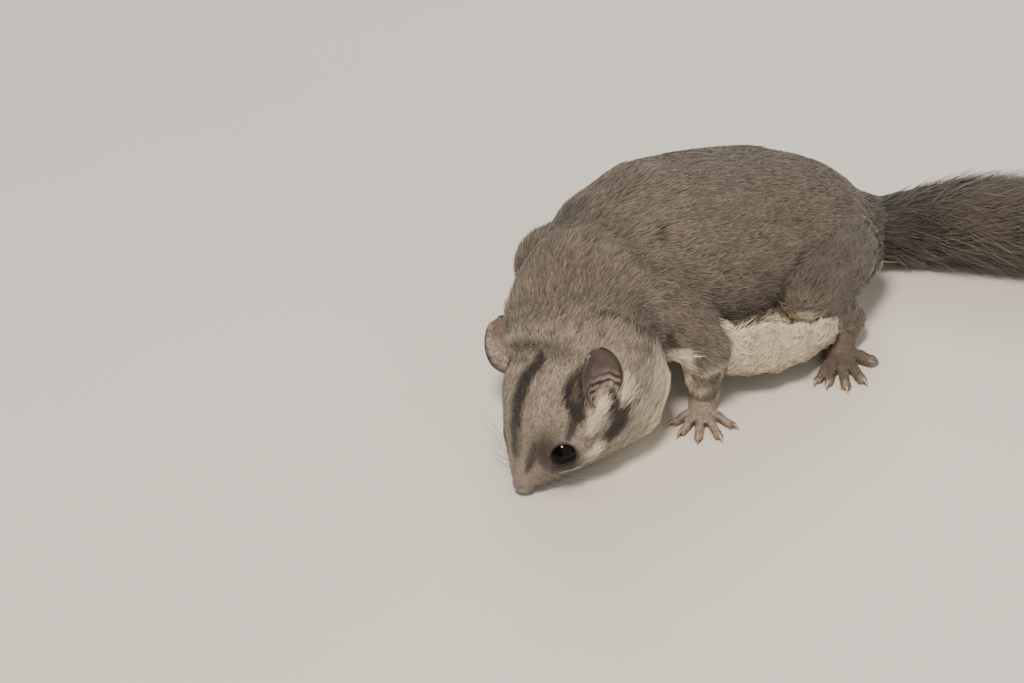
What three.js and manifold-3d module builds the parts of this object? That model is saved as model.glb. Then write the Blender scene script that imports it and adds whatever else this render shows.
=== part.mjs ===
// A sugar glider, life size, crouched on the ground with its head bent down to feed.
// Millimetres, +Z up. The animal faces -Y, its left side is +X, and the ground is Z = 0.
// The solids reach to the outside of the short coat. Every part is its own mesh.
import * as THREE from "three";
import { mergeVertices } from "three/addons/utils/BufferGeometryUtils.js";
import Module from "manifold-3d";

const wasm = await Module();
wasm.setup();

// Driving sizes
const GAP = 0.3; // kept between neighbouring parts
const NOSE_TIP = [18, 53, 2.4]; // left, forward, up
const HEAD_PITCH = 43; // degrees that the head points down
const HEAD_YAW = 14; // degrees that the head turns to its left
const HEAD_ROLL = 20; // degrees that its crown leans to its right
const EYE_RADIUS = 4.1;
const EYE_PLACE = [11.6, 9.3, -0.2]; // behind the nose, to the side, towards the crown
const LID_RADIUS = 3.75;
const LID_THICKNESS = 0.8;
const EAR_LENGTH = 14;
const EAR_HALF_WIDTH = 6.2;
const EAR_THICKNESS = 1.1;
const EAR_PLACE = [26.2, 17.4, 2]; // root of the ear, as EYE_PLACE
// Each ear's lie and the way its open side faces, as shares of ahead, left and crown.
const EAR_LIE = { left: [-0.62, 0.44, 0.65], right: [-0.58, -0.6, 0.55] };
const EAR_FACING = { left: [0.3, 0.89, -0.29], right: [0.32, 0.5, 0.8] };
const MEMBRANE_THICKNESS = 1.6;
const TAIL_PIECES = ["tail_base", "tail_middle", "tail_end"];

const FLESH = {
  fur: 0x7c746c, tail: 0x6b6159, cream: 0xe6dcc2, bare: 0xb39a8c, ear: 0x9a8580, eye: 0x0c0908,
};

// A point given as left, forward and up from under the shoulders.
const at = (left, forward, up) => new THREE.Vector3(left, -forward, up);
const radians = THREE.MathUtils.degToRad;
const mix = THREE.MathUtils.lerp;
const UP = new THREE.Vector3(0, 0, 1);

// The closed geometry as a solid, with its faces turned outwards.
function solid(geometry) {
  const bare = new THREE.BufferGeometry();
  bare.setAttribute("position", geometry.getAttribute("position"));
  bare.setIndex(geometry.index);
  const merged = mergeVertices(bare, 1e-4);
  const triVerts = new Uint32Array(merged.index.array);
  const vertProperties = new Float32Array(merged.attributes.position.array);
  const make = () => new wasm.Manifold(new wasm.Mesh({ numProp: 3, vertProperties, triVerts }));
  const made = make();
  if (made.volume() > 0) return made;
  triVerts.reverse();
  return make();
}

// Keeps only the largest closed surface of a solid.
function largest(made) {
  const pieces = made.decompose().filter((piece) => piece.volume() > 0);
  return pieces.sort((a, b) => b.volume() - a.volume())[0];
}

function geometryOf(made) {
  const mesh = made.getMesh();
  const geometry = new THREE.BufferGeometry();
  geometry.setAttribute("position", new THREE.BufferAttribute(new Float32Array(mesh.vertProperties), 3));
  geometry.setIndex(new THREE.BufferAttribute(new Uint32Array(mesh.triVerts), 1));
  geometry.computeVertexNormals();
  return geometry;
}

// A closed skin through rings of points, each with the same count, ending in a point at each end.
function loft(rings, first, last) {
  const sides = rings[0].length;
  const points = [...rings.flat(), first, last];
  const startPole = points.length - 2;
  const endPole = points.length - 1;
  const index = [];
  for (let j = 0; j < sides; j++) {
    const next = (j + 1) % sides;
    for (let i = 0; i < rings.length - 1; i++) {
      const a = i * sides;
      const b = a + sides;
      index.push(a + j, a + next, b + next, a + j, b + next, b + j);
    }
    const end = (rings.length - 1) * sides;
    index.push(startPole, next, j, endPole, end + j, end + next);
  }
  const geometry = new THREE.BufferGeometry().setFromPoints(points);
  geometry.setIndex(index);
  return geometry;
}

// A section: centre, left and dorsal directions, half width, height above and depth below.
function ringOf({ centre, left, dorsal, width, above, below }, sides) {
  return Array.from({ length: sides }, (_, j) => {
    const turn = (2 * Math.PI * j) / sides;
    const rise = Math.sin(turn);
    return centre
      .clone()
      .addScaledVector(left, width * Math.cos(turn))
      .addScaledVector(dorsal, (rise > 0 ? above : below) * rise);
  });
}

// Sections along a smooth line through keys [point, half width, above, below].
function sectionsAlong(keys, steps, { grow = 0, up = UP, from = 0, to = 1 } = {}) {
  const line = new THREE.CatmullRomCurve3(keys.map((key) => key[0]));
  const sizes = new THREE.CatmullRomCurve3(
    keys.map(([, w, a = w, b = a]) => new THREE.Vector3(w, a, b)),
  );
  return Array.from({ length: steps + 1 }, (_, i) => {
    const t = mix(from, to, i / steps);
    const ahead = line.getTangent(t).normalize();
    const left = new THREE.Vector3().crossVectors(up, ahead).normalize();
    const dorsal = new THREE.Vector3().crossVectors(ahead, left);
    const size = sizes.getPoint(t);
    const [width, above, below] = [size.x, size.y, size.z].map((v) => Math.max(v, 0.2) + grow);
    return { centre: line.getPoint(t), ahead, left, dorsal, width, above, below };
  });
}

// Extra sections that round off an end; way is 1 past the last section and -1 before the first.
function roundedEnd(section, way) {
  const reach = Math.min(section.width, section.above, section.below);
  return [35, 65].map((degrees) => {
    const shrink = Math.cos(radians(degrees));
    return {
      ...section,
      centre: section.centre.clone().addScaledVector(section.ahead, way * reach * Math.sin(radians(degrees))),
      width: section.width * shrink,
      above: section.above * shrink,
      below: section.below * shrink,
    };
  });
}

function poleOf(section, way, round) {
  const reach = round ? Math.min(section.width, section.above, section.below) : 0;
  return section.centre.clone().addScaledVector(section.ahead, way * reach);
}

// A tube with rounded or flat ends through keys.
function tube(keys, sides, steps, { roundStart = true, roundEnd = true, ...options } = {}) {
  const body = sectionsAlong(keys, steps, options);
  const first = body[0];
  const last = body[steps];
  const sections = [
    ...(roundStart ? roundedEnd(first, -1).reverse() : []),
    ...body,
    ...(roundEnd ? roundedEnd(last, 1) : []),
  ];
  const rings = sections.map((section) => ringOf(section, sides));
  return solid(loft(rings, poleOf(first, -1, roundStart), poleOf(last, 1, roundEnd)));
}

const join = (pieces) => wasm.Manifold.union(pieces);

// Everything beyond a plane, on the side that its normal points to.
function beyond(point, normal) {
  const SIZE = 400;
  const block = new THREE.BoxGeometry(SIZE, SIZE, SIZE).translate(0, 0, SIZE / 2);
  block.applyQuaternion(new THREE.Quaternion().setFromUnitVectors(UP, normal));
  return solid(block.translate(...point.toArray()));
}

// The two sides of a thin cut, first the one that the normal points to.
function parted(made, point, normal) {
  const back = normal.clone().negate();
  const front = made.intersect(beyond(point.clone().addScaledVector(normal, GAP / 2), normal));
  return [front, made.intersect(beyond(point.clone().addScaledVector(back, GAP / 2), back))];
}

// Torso: keys from the root of the tail to the base of the neck.
const TORSO = [
  [at(0, -70, 13), 8, 6.5, 7],
  [at(0, -63, 16.5), 12, 9.5, 11.5],
  [at(0, -52, 21.5), 18, 15.5, 17.5],
  [at(0, -36, 26), 24, 21, 22],
  [at(0, -16, 29.5), 25, 24.5, 25],
  [at(0, 0, 32), 22.5, 26, 26],
  [at(0, 11, 33.5), 19.5, 21.5, 24],
  [at(1, 18, 33), 12, 13, 14],
];
const torso = (grow) => tube(TORSO, 20, 12, { grow });

const NECK = [
  [at(1.5, 8, 33.5), 13, 16, 13],
  [at(4, 18, 32), 18.5, 19.5, 20],
  [at(10, 28, 28.5), 18.5, 11.5, 19],
  [at(12.5, 34, 25.5), 14, 10, 12],
];
const neck = (grow) => tube(NECK, 20, 5, { grow, roundEnd: false });

// The head's own directions, from its pitch and its turn to the left.
const pitch = radians(HEAD_PITCH);
const yaw = radians(HEAD_YAW);
const headAhead = at(Math.sin(yaw) * Math.cos(pitch), Math.cos(yaw) * Math.cos(pitch), -Math.sin(pitch));
const headLeft = at(Math.cos(yaw), -Math.sin(yaw), 0).applyAxisAngle(headAhead, radians(HEAD_ROLL));
const headCrown = new THREE.Vector3().crossVectors(headAhead, headLeft);
const noseTip = at(...NOSE_TIP);

// A point of the head: distance behind the nose tip, to the side, and towards the crown.
const onHead = (behind, side, crown) =>
  noseTip
    .clone()
    .addScaledVector(headAhead, -behind)
    .addScaledVector(headLeft, side)
    .addScaledVector(headCrown, crown);

// A direction given as shares of the head's own directions.
const headWay = (ahead, left, crown) =>
  new THREE.Vector3()
    .addScaledVector(headAhead, ahead)
    .addScaledVector(headLeft, left)
    .addScaledVector(headCrown, crown)
    .normalize();

// Head profile: distance behind the nose, half width, height and depth about the muzzle's line.
const HEAD = [
  [46, 9, 4.6, 9],
  [41, 16.5, 7, 19.5],
  [33, 20.6, 8.6, 24],
  [25, 20, 11, 24],
  [18.5, 16.8, 11.2, 19.3],
  [13, 13.6, 9.2, 14.8],
  [9, 10.6, 7.3, 11],
  [5.5, 7.5, 5.3, 7.3],
  [2.8, 4.8, 4, 4.6],
  [0.9, 2.9, 2.7, 2.6],
];
const headKeys = HEAD.map(([behind, w, a, b]) => [onHead(behind, 0, 0), w, a, b]);
const HEAD_STEPS = 14;
const skull = (grow) => tube(headKeys, 20, HEAD_STEPS, { grow, up: headCrown });

// A point on the head's surface, at a share of its length from back to front and a turn about it.
function onFace(share, degrees) {
  const section = sectionsAlong(headKeys, 1, { up: headCrown, from: share, to: 1 })[0];
  const rise = Math.sin(radians(degrees));
  return section.centre
    .addScaledVector(section.left, section.width * Math.cos(radians(degrees)))
    .addScaledVector(section.dorsal, (rise > 0 ? section.above : section.below) * rise);
}

// The way an eye looks: outwards, a little forwards and up.
const eyeAxis = (side) => headWay(0.42, 0.85 * side, 0.36);
const eyeCentre = (side) => onHead(EYE_PLACE[0], EYE_PLACE[1] * side, EYE_PLACE[2]);

function eye(side, grow) {
  const ball = new THREE.SphereGeometry(EYE_RADIUS + grow, 14, 10);
  ball.translate(...eyeCentre(side).toArray());
  return solid(ball);
}

// The rim of the lids round one eye.
function lids(side) {
  const rim = new THREE.TorusGeometry(LID_RADIUS, LID_THICKNESS, 5, 14);
  rim.applyQuaternion(new THREE.Quaternion().setFromUnitVectors(UP, eyeAxis(side)));
  const drop = Math.sqrt(EYE_RADIUS ** 2 - LID_RADIUS ** 2) - 0.1;
  rim.translate(...eyeCentre(side).addScaledVector(eyeAxis(side), drop).toArray());
  return solid(rim);
}

// The line of the mouth: one groove from cheek to cheek under the nose.
function mouthLine() {
  const MOUTH_TURN = -38;
  const shares = [0.66, 0.74, 0.82, 0.9, 0.96];
  const leftHalf = shares.map((share) => onFace(share, MOUTH_TURN));
  const rightHalf = shares.map((share) => onFace(share, 180 - MOUTH_TURN)).reverse();
  const front = onFace(0.985, -90);
  const keys = [...leftHalf, front, ...rightHalf].map((point) => [point, 0.5]);
  return tube(keys, 4, 12, { up: headAhead });
}

function nostril(side) {
  const keys = [onHead(-1.6, 1.5 * side, 0.4), onHead(1.2, 0.8 * side, 0.4)];
  return tube(keys.map((point) => [point, 0.5]), 6, 2, { up: headCrown });
}

// Torso, neck and head as one form, parted at the occiput and at the shoulders.
const OCCIPUT_CUT = { point: onHead(31, 0, -1), normal: headWay(0.82, 0, 0.57) };
const SHOULDER_CUT = { point: at(0, 13, 0), normal: at(0, 1, 0) };
const trunk = join([torso(0), neck(0), skull(0)]);
const [foreTrunk, torsoPart] = parted(trunk, SHOULDER_CUT.point, SHOULDER_CUT.normal);
const [headPart, neckPart] = parted(foreTrunk, OCCIPUT_CUT.point, OCCIPUT_CUT.normal);

function head() {
  const SIDES = [1, -1];
  const whole = join([headPart, ...SIDES.map(lids)]);
  const cuts = [...SIDES.map((side) => eye(side, GAP)), mouthLine(), ...SIDES.map(nostril)];
  return whole.subtract(join(cuts));
}

// One cupped ear: a thick petal whose sides curl towards the open front.
function ear(side, grow = 0) {
  const LONG = 9;
  const WIDE = 8;
  const WIDEST_AT = 0.55;
  const ROOT_SINK = 5;
  const word = side > 0 ? "left" : "right";
  const along = headWay(...EAR_LIE[word]);
  const facing = headWay(...EAR_FACING[word]);
  facing.addScaledVector(along, -facing.dot(along)).normalize();
  const across = new THREE.Vector3().crossVectors(along, facing);
  const root = onHead(EAR_PLACE[0], EAR_PLACE[1] * side, EAR_PLACE[2]).addScaledVector(along, -ROOT_SINK);
  const half = EAR_THICKNESS / 2 + grow;

  // Middle of the sheet at u along and v across, pushed off by a thickness.
  const point = (u, v, push) => {
    const towardsTip = Math.sqrt(1 - Math.max(0, (u - WIDEST_AT) / 0.47) ** 2);
    const open = u < WIDEST_AT ? mix(0.55, 1, Math.sin((u / WIDEST_AT) * Math.PI * 0.5)) : towardsTip;
    const curl = radians(mix(105, 38, Math.min(1, u * 1.15)));
    const radius = (EAR_HALF_WIDTH * open) / curl;
    const turn = v * curl;
    const length = (EAR_LENGTH + ROOT_SINK) * u;
    const lean = -2.2 * u * u;
    return root
      .clone()
      .addScaledVector(along, length)
      .addScaledVector(across, (radius - push) * Math.sin(turn))
      .addScaledVector(facing, radius - (radius - push) * Math.cos(turn) + lean);
  };
  const points = [];
  for (const push of [-half, half])
    for (let i = 0; i <= LONG; i++)
      for (let j = 0; j <= WIDE; j++) points.push(point(i / LONG, (2 * j) / WIDE - 1, push));
  return solid(sheet(points, LONG, WIDE));
}

// A closed sheet from two grids of (long + 1) x (wide + 1) points, split alike on both faces.
function sheet(points, long, wide) {
  const row = wide + 1;
  const back = (long + 1) * row;
  const index = [];
  for (let i = 0; i < long; i++)
    for (let j = 0; j < wide; j++) {
      const a = i * row + j;
      const [b, c, d] = [a + 1, a + row + 1, a + row];
      index.push(a, b, c, a, c, d);
      index.push(back + a, back + c, back + b, back + a, back + d, back + c);
    }
  const edge = [];
  for (let j = 0; j < wide; j++) edge.push(j);
  for (let i = 0; i < long; i++) edge.push(i * row + wide);
  for (let j = wide; j > 0; j--) edge.push(long * row + j);
  for (let i = long; i > 0; i--) edge.push(i * row);
  edge.forEach((a, k) => {
    const b = edge[(k + 1) % edge.length];
    index.push(b, a, back + a, b, back + a, back + b);
  });
  const geometry = new THREE.BufferGeometry().setFromPoints(points);
  geometry.setIndex(index);
  return geometry;
}

// Limbs of one side: joints as [left, forward, up], mirrored for the right.
const SHOULDER = [15, 11, 32];
const ELBOW = [24, 1, 22];
const WRIST = [22.5, 0.5, 7.5];
const HIP = [14, -50, 19.5];
const KNEE = [24.5, -31, 21.5];
const ANKLE = [26, -42, 8];
const RIGHT_ARM_ADVANCE = 4; // the right arm reaches this much further forward
const onSide = (side, [left, forward, up]) => at(left * side, forward, up);
const ofArm = (side, [left, forward, up]) =>
  at(left * side, forward + (side < 0 ? RIGHT_ARM_ADVANCE : 0), up);
const between = (a, b, share) => a.map((v, i) => mix(v, b[i], share));

const upperArm = (side, grow) =>
  tube(
    [
      [ofArm(side, SHOULDER), 10.5],
      [ofArm(side, between(SHOULDER, ELBOW, 0.5)), 9.5],
      [ofArm(side, ELBOW), 7],
    ],
    14,
    4,
    { grow },
  );

const forearm = (side, grow) =>
  tube(
    [
      [ofArm(side, between(ELBOW, WRIST, 0.1)), 6.7],
      [ofArm(side, between(ELBOW, WRIST, 0.55)), 5.5],
      [ofArm(side, WRIST), 4],
    ],
    12,
    4,
    { grow, up: at(0, 1, 0) },
  );

const thigh = (side, grow) =>
  tube(
    [
      [onSide(side, HIP), 12, 12, 11.5],
      [onSide(side, between(HIP, KNEE, 0.5)), 12, 12, 11.5],
      [onSide(side, KNEE), 9, 9, 9],
    ],
    16,
    5,
    { grow },
  );

const shin = (side, grow) =>
  tube(
    [
      [onSide(side, between(KNEE, ANKLE, 0.12)), 7.6],
      [onSide(side, between(KNEE, ANKLE, 0.6)), 6.2],
      [onSide(side, ANKLE), 4.6],
    ],
    12,
    4,
    { grow, up: at(0, 1, 0) },
  );

// One digit that arches from its root to the ground, with a hooked claw on it if clawed.
function digit(root, heading, length, radius, { grow = 0, clawed = true, tipHeight = radius } = {}) {
  const ahead = at(Math.sin(heading), Math.cos(heading), 0);
  const along = (share, up) => {
    const point = root.clone().addScaledVector(ahead, length * share);
    point.z = up;
    return point;
  };
  const knuckle = Math.max(root.z, tipHeight + 1.3);
  const toe = tube(
    [
      [root.clone(), radius * 1.05],
      [along(0.42, knuckle), radius],
      [along(0.78, mix(knuckle, tipHeight, 0.7)), radius * 0.92],
      [along(1, tipHeight), radius * 0.96],
    ],
    5,
    3,
    { grow, roundStart: false },
  );
  if (!clawed) return [toe];
  const CLAW = 2.6;
  const hook = tube(
    [
      [along(0.98, tipHeight + 0.35), 0.62],
      [along(1 + (0.5 * CLAW) / length, tipHeight + 0.5), 0.45],
      [along(1 + CLAW / length, Math.max(0.35, tipHeight - 0.7)), 0.22],
    ],
    4,
    2,
    { grow, roundStart: false, roundEnd: false },
  );
  return [toe, hook];
}

// A forefoot: palm and five spread digits. Headings are degrees outwards from straight ahead.
const HAND = [22.5, 2, 3];
const HAND_HEADING = 50;
const FINGERS = [
  { turn: -66, length: 4.8, radius: 1.05 },
  { turn: -34, length: 6, radius: 1.1 },
  { turn: -4, length: 7.2, radius: 1.15 },
  { turn: 24, length: 7.8, radius: 1.15 },
  { turn: 54, length: 6.4, radius: 1.1 },
];

function hand(side, grow) {
  const palm = tube(
    [
      [ofArm(side, between(WRIST, HAND, 0.08)), 3.2, 3, 3],
      [ofArm(side, between(WRIST, HAND, 0.6)), 3.5, 2.8, 2.8],
      [ofArm(side, [HAND[0] + 1.8, HAND[1] + 1.4, 2.3]), 3.6, 2.2, 2.75],
    ],
    10,
    3,
    { grow },
  );
  const digits = FINGERS.flatMap(({ turn, length, radius }) => {
    const heading = radians(HAND_HEADING + turn);
    const root = [HAND[0] + 1.4 + 2.2 * Math.sin(heading), HAND[1] + 1 + 2.2 * Math.cos(heading), 2.3];
    return digit(ofArm(side, root), heading * side, length, radius, { grow, tipHeight: radius - 0.25 });
  });
  return join([palm, ...digits]);
}

// A hind foot: sole, four clawed toes and the broad clawless big toe, which points back inwards.
const FOOT = [28, -37, 3];
const FOOT_HEADING = 50;
const TOES = [
  { turn: -30, length: 7, radius: 1.1 },
  { turn: -14, length: 7.4, radius: 1.1 },
  { turn: 8, length: 9, radius: 1.3 },
  { turn: 30, length: 8.2, radius: 1.3 },
];
const BIG_TOE = { turn: 72, length: 6.5, radius: 1.6 };

function foot(side, grow) {
  const sole = tube(
    [
      [onSide(side, between(ANKLE, FOOT, 0.05)), 4.2, 4.1, 4.1],
      [onSide(side, between(ANKLE, FOOT, 0.55)), 4.4, 3.5, 3.5],
      [onSide(side, [FOOT[0] + 2.4, FOOT[1] + 2, 2.5]), 4.3, 2.4, 3.1],
    ],
    10,
    3,
    { grow },
  );
  const place = (turn, out) => {
    const heading = radians(FOOT_HEADING + turn);
    return [FOOT[0] + 1.8 + out * Math.sin(heading), FOOT[1] + 1.4 + out * Math.cos(heading), 2.5];
  };
  const toes = TOES.flatMap(({ turn, length, radius }) =>
    digit(onSide(side, place(turn, 3)), radians(FOOT_HEADING + turn) * side, length, radius, {
      grow,
      tipHeight: radius - 0.25,
    }),
  );
  const thumb = digit(
    onSide(side, place(BIG_TOE.turn, 2)),
    radians(FOOT_HEADING + BIG_TOE.turn) * side,
    BIG_TOE.length,
    BIG_TOE.radius,
    { grow, clawed: false, tipHeight: BIG_TOE.radius - 0.25 },
  );
  return join([sole, ...toes, ...thumb]);
}

// The gliding membrane of one side: a slack sheet from the flank, down to a fold near the ground and up
// again to a ruffled edge that shows the pale underside.
const MEMBRANE = {
  top: [[20.5, -3, 20], [23.5, -13, 21], [24, -23, 19], [24.5, -31, 16]],
  fold: [[24.5, -4.5, 10], [29, -13, 8.6], [30, -23, 7.6], [28.5, -34, 7.5]],
  rim: [[27, -3.5, 22], [33, -10.5, 24], [34.5, -22, 19], [30.5, -34.5, 14]],
};
const RUFFLES = 3.5;
const RUFFLE_DEPTH = 1.7;

function membrane(side) {
  const LONG = 21;
  const WIDE = 4;
  const curves = Object.fromEntries(
    Object.entries(MEMBRANE).map(([name, keys]) => [
      name,
      new THREE.CatmullRomCurve3(keys.map((key) => onSide(side, key))),
    ]),
  );
  const middle = (u, v) => {
    const across = new THREE.QuadraticBezierCurve3(
      curves.top.getPoint(u),
      curves.fold.getPoint(u).multiplyScalar(2).sub(mixed(curves.top.getPoint(u), curves.rim.getPoint(u))),
      curves.rim.getPoint(u),
    );
    const point = across.getPoint(v);
    const wave = Math.sin(2 * Math.PI * RUFFLES * u + 1.2 * v) * RUFFLE_DEPTH * v * Math.sin(Math.PI * u);
    point.x += side * wave * 0.8;
    point.z = Math.max(point.z + wave * 0.7, 1.2 + MEMBRANE_THICKNESS / 2);
    return point;
  };
  const STEP = 0.01;
  const points = [];
  for (const way of [-1, 1])
    for (let i = 0; i <= LONG; i++)
      for (let j = 0; j <= WIDE; j++) {
        const [u, v] = [i / LONG, j / WIDE];
        const alongU = middle(Math.min(1, u + STEP), v).sub(middle(Math.max(0, u - STEP), v));
        const alongV = middle(u, Math.min(1, v + STEP)).sub(middle(u, Math.max(0, v - STEP)));
        const normal = alongU.cross(alongV).normalize();
        points.push(middle(u, v).addScaledVector(normal, (way * MEMBRANE_THICKNESS) / 2));
      }
  return solid(sheet(points, LONG, WIDE));
}
const mixed = (a, b) => a.clone().add(b).multiplyScalar(0.5);

// Tail: keys from the rump along the ground, swinging to the left, as wide as its long coat.
const TAIL = [
  [at(0.5, -60, 15.5), 8.5],
  [at(4.5, -71, 11.8), 12.2, 11, 11.2],
  [at(15, -83, 12), 13.8, 12.4, 12.5],
  [at(31, -97, 12.3), 14.2, 13, 12.8],
  [at(50, -114, 12), 14, 12.8, 12.5],
  [at(68, -134, 11.2), 13.2, 12.2, 11.7],
  [at(84, -156, 9.8), 11.6, 10.8, 10.3],
  [at(96, -180, 7.8), 9.2, 8.6, 8.3],
  [at(103, -204, 5.2), 5.8, 5.3, 5.6],
  [at(105, -218, 2.6), 1.6, 1.6, 2.4],
];

// The flesh and underfur of the tail, as a share of its coat's reach: all of it at the rump, then thinner.
const CORE_SHARE = 0.6;
const CORE_THINS_OVER = 0.2;
const coreShare = (t) => mix(1, CORE_SHARE, THREE.MathUtils.smoothstep(t, 0, CORE_THINS_OVER));
const TAIL_SHARES = [0, 0.36, 0.68, 1];

function tailCore(part, grow) {
  const HALF_GAP_SHARE = 0.0009;
  const from = TAIL_SHARES[part] + (part > 0 ? HALF_GAP_SHARE : 0);
  const to = TAIL_SHARES[part + 1] - (part < 2 ? HALF_GAP_SHARE : 0);
  const STEPS = 7;
  const SIDES = 14;
  const keys = sectionsAlong(TAIL, STEPS, { from, to }).map((section, i) => {
    const share = coreShare(mix(from, to, i / STEPS));
    const [width, above, below] = [section.width, section.above, section.below].map((v) => v * share + grow);
    return { ...section, width, above, below };
  });
  const sections = [
    ...(part === 0 ? roundedEnd(keys[0], -1).reverse() : []),
    ...keys,
    ...(part === 2 ? roundedEnd(keys[STEPS], 1) : []),
  ];
  const rings = sections.map((section) => ringOf(section, SIDES));
  return solid(loft(rings, poleOf(keys[0], -1, part === 0), poleOf(keys[STEPS], 1, part === 2)));
}

// A seeded draw between -1 and 1.
function drawFrom(seed) {
  let state = seed;
  return () => {
    state = (state * 1664525 + 1013904223) % 4294967296;
    return state / 2147483648 - 1;
  };
}

const LOCKS = { first: 0.1, last: 0.89, rows: 9, perRow: 5, length: 34, width: 15, thickness: 2, sink: 2.2 };
const FULL_WIDTH = 13; // half width of the tail at which its locks have their full size
const TAIL_LENGTH = new THREE.CatmullRomCurve3(TAIL.map((key) => key[0])).getLength();
const WIDEST_SPREAD = 1.1; // turn to each side of a lock, in radians
const BEND = 2.2; // how soon a lock leaves the core and bends along the tail

// One flat, tapered lock, rooted in the core at a share along the tail and a turn about it. It leans
// towards the tip, and its own tip lies at the reach of the coat.
function lock(t, turn, { length, width, thickness, sink, reach, grow }) {
  const placeAt = (s) => {
    const share = Math.min(0.995, t + (s * length) / TAIL_LENGTH);
    const section = sectionsAlong(TAIL, 1, { from: share, to: 1 })[0];
    const outwards = (angle) =>
      new THREE.Vector3()
        .addScaledVector(section.left, Math.cos(angle))
        .addScaledVector(section.dorsal, Math.sin(angle));
    const high = Math.sin(turn) > 0 ? section.above : section.below;
    const full = Math.hypot(section.width * Math.cos(turn), high * Math.sin(turn));
    return { section, outwards, full, core: full * coreShare(share) };
  };
  const start = placeAt(0).core - sink;
  const end = placeAt(1).full * reach;
  const ring = (s, wide, thick) => {
    const { section, outwards } = placeAt(s);
    const radius = mix(end, start, (1 - s) ** BEND);
    const spread = Math.min(WIDEST_SPREAD, (width * wide) / 2 / radius) + grow / radius;
    const along = (angle, out) => section.centre.clone().addScaledVector(outwards(angle), out);
    const depth = (thickness * thick) / 2 + grow;
    return [
      along(turn - spread, radius - 0.2),
      along(turn, radius + depth),
      along(turn + spread, radius - 0.2),
      along(turn, radius - depth),
    ];
  };
  const last = placeAt(1);
  const tip = last.section.centre
    .clone()
    .addScaledVector(last.outwards(turn), end)
    .addScaledVector(last.section.ahead, 3 * grow);
  const rings = [ring(0, 0.8, 1), ring(0.4, 1, 1), ring(0.78, 0.68, 0.75)];
  const root = rings[0].reduce((sum, point) => sum.add(point), new THREE.Vector3()).multiplyScalar(0.25);
  root.addScaledVector(placeAt(0).section.ahead, -2 * grow);
  return solid(loft(rings, root, tip));
}

function tailLocks(grow) {
  const draw = drawFrom(7);
  const byPart = [[], [], []];
  for (let row = 0; row < LOCKS.rows; row++) {
    const t = mix(LOCKS.first, LOCKS.last, row / (LOCKS.rows - 1));
    const { width } = sectionsAlong(TAIL, 1, { from: t, to: 1 })[0];
    const size = THREE.MathUtils.clamp(width / FULL_WIDTH, 0.4, 1);
    const count = size > 0.85 ? LOCKS.perRow : LOCKS.perRow - 1;
    for (let k = 0; k < count; k++) {
      const share = t + 0.006 * draw();
      const turn = (2 * Math.PI * (k + (row % 2) / 2)) / count + 0.12 * draw();
      const part = TAIL_SHARES.findIndex((edge, i) => share >= edge && share < TAIL_SHARES[i + 1]);
      byPart[part].push(
        lock(share, turn, {
          length: LOCKS.length * mix(0.7, 1, size) * (1 + 0.14 * draw()),
          width: LOCKS.width * size,
          thickness: LOCKS.thickness * mix(0.6, 1, size),
          sink: LOCKS.sink * size,
          reach: 1 + 0.03 * draw(),
          grow,
        }),
      );
    }
  }
  return byPart;
}

// Every part, and what it is cut clear of.
const shaped = new Map();
for (const [side, word] of [[1, "left"], [-1, "right"]]) {
  const grown = {
    torso: torso(GAP),
    neck: neck(2 * GAP),
    skull: skull(GAP),
    upperArm: upperArm(side, GAP),
    forearm: forearm(side, GAP),
    hand: hand(side, GAP),
    thigh: thigh(side, GAP),
    shin: shin(side, GAP),
    foot: foot(side, GAP),
    tail: tailCore(0, GAP),
  };
  const clearOf = (made, ...names) => made.subtract(join(names.map((name) => grown[name])));
  shaped.set(`eye_${word}`, [eye(side, 0), FLESH.eye, 0.08]);
  shaped.set(`ear_${word}`, [clearOf(ear(side), "skull", "neck", "torso"), FLESH.ear, 0.6]);
  shaped.set(`upper_arm_${word}`, [clearOf(upperArm(side, 0), "skull"), FLESH.fur, 0.9]);
  const forearmClear = clearOf(forearm(side, 0), "upperArm", "torso", "skull", "neck");
  shaped.set(`forearm_${word}`, [forearmClear, FLESH.fur, 0.9]);
  shaped.set(`hand_${word}`, [clearOf(hand(side, 0), "forearm", "torso", "skull", "neck"), FLESH.bare, 0.7]);
  shaped.set(`thigh_${word}`, [clearOf(thigh(side, 0), "tail"), FLESH.fur, 0.9]);
  shaped.set(`shin_${word}`, [clearOf(shin(side, 0), "thigh", "torso"), FLESH.fur, 0.9]);
  shaped.set(`foot_${word}`, [clearOf(foot(side, 0), "shin", "thigh", "torso"), FLESH.bare, 0.7]);
  shaped.set(`membrane_${word}`, [
    clearOf(membrane(side), "torso", "upperArm", "forearm", "hand", "thigh", "shin", "foot"),
    FLESH.cream,
    0.9,
  ]);
}
const limbs = [1, -1].flatMap((side) => [upperArm(side, GAP), thigh(side, GAP)]);
shaped.set("torso", [torsoPart.subtract(join([...limbs, tailCore(0, GAP)])), FLESH.fur, 0.9]);
shaped.set("neck", [neckPart.subtract(join(limbs)), FLESH.fur, 0.9]);
shaped.set("head", [head(), FLESH.fur, 0.9]);
const locks = tailLocks(0);
const grownLocks = tailLocks(1.5 * GAP);
TAIL_PIECES.forEach((name, part) => {
  const whole = join([tailCore(part, 0), ...locks[part]]);
  if (part > 0) {
    const before = join([tailCore(part - 1, GAP), ...grownLocks[part - 1]]);
    shaped.set(name, [whole.subtract(before), FLESH.tail, 0.95]);
  } else {
    shaped.set(name, [whole, FLESH.tail, 0.95]);
  }
});

// The ground, which flattens the soles and the underside of the tail at one level.
const GROUND_SIZE = 800;
const ground = solid(new THREE.BoxGeometry(GROUND_SIZE, GROUND_SIZE, 20).translate(0, 0, -10));

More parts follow.
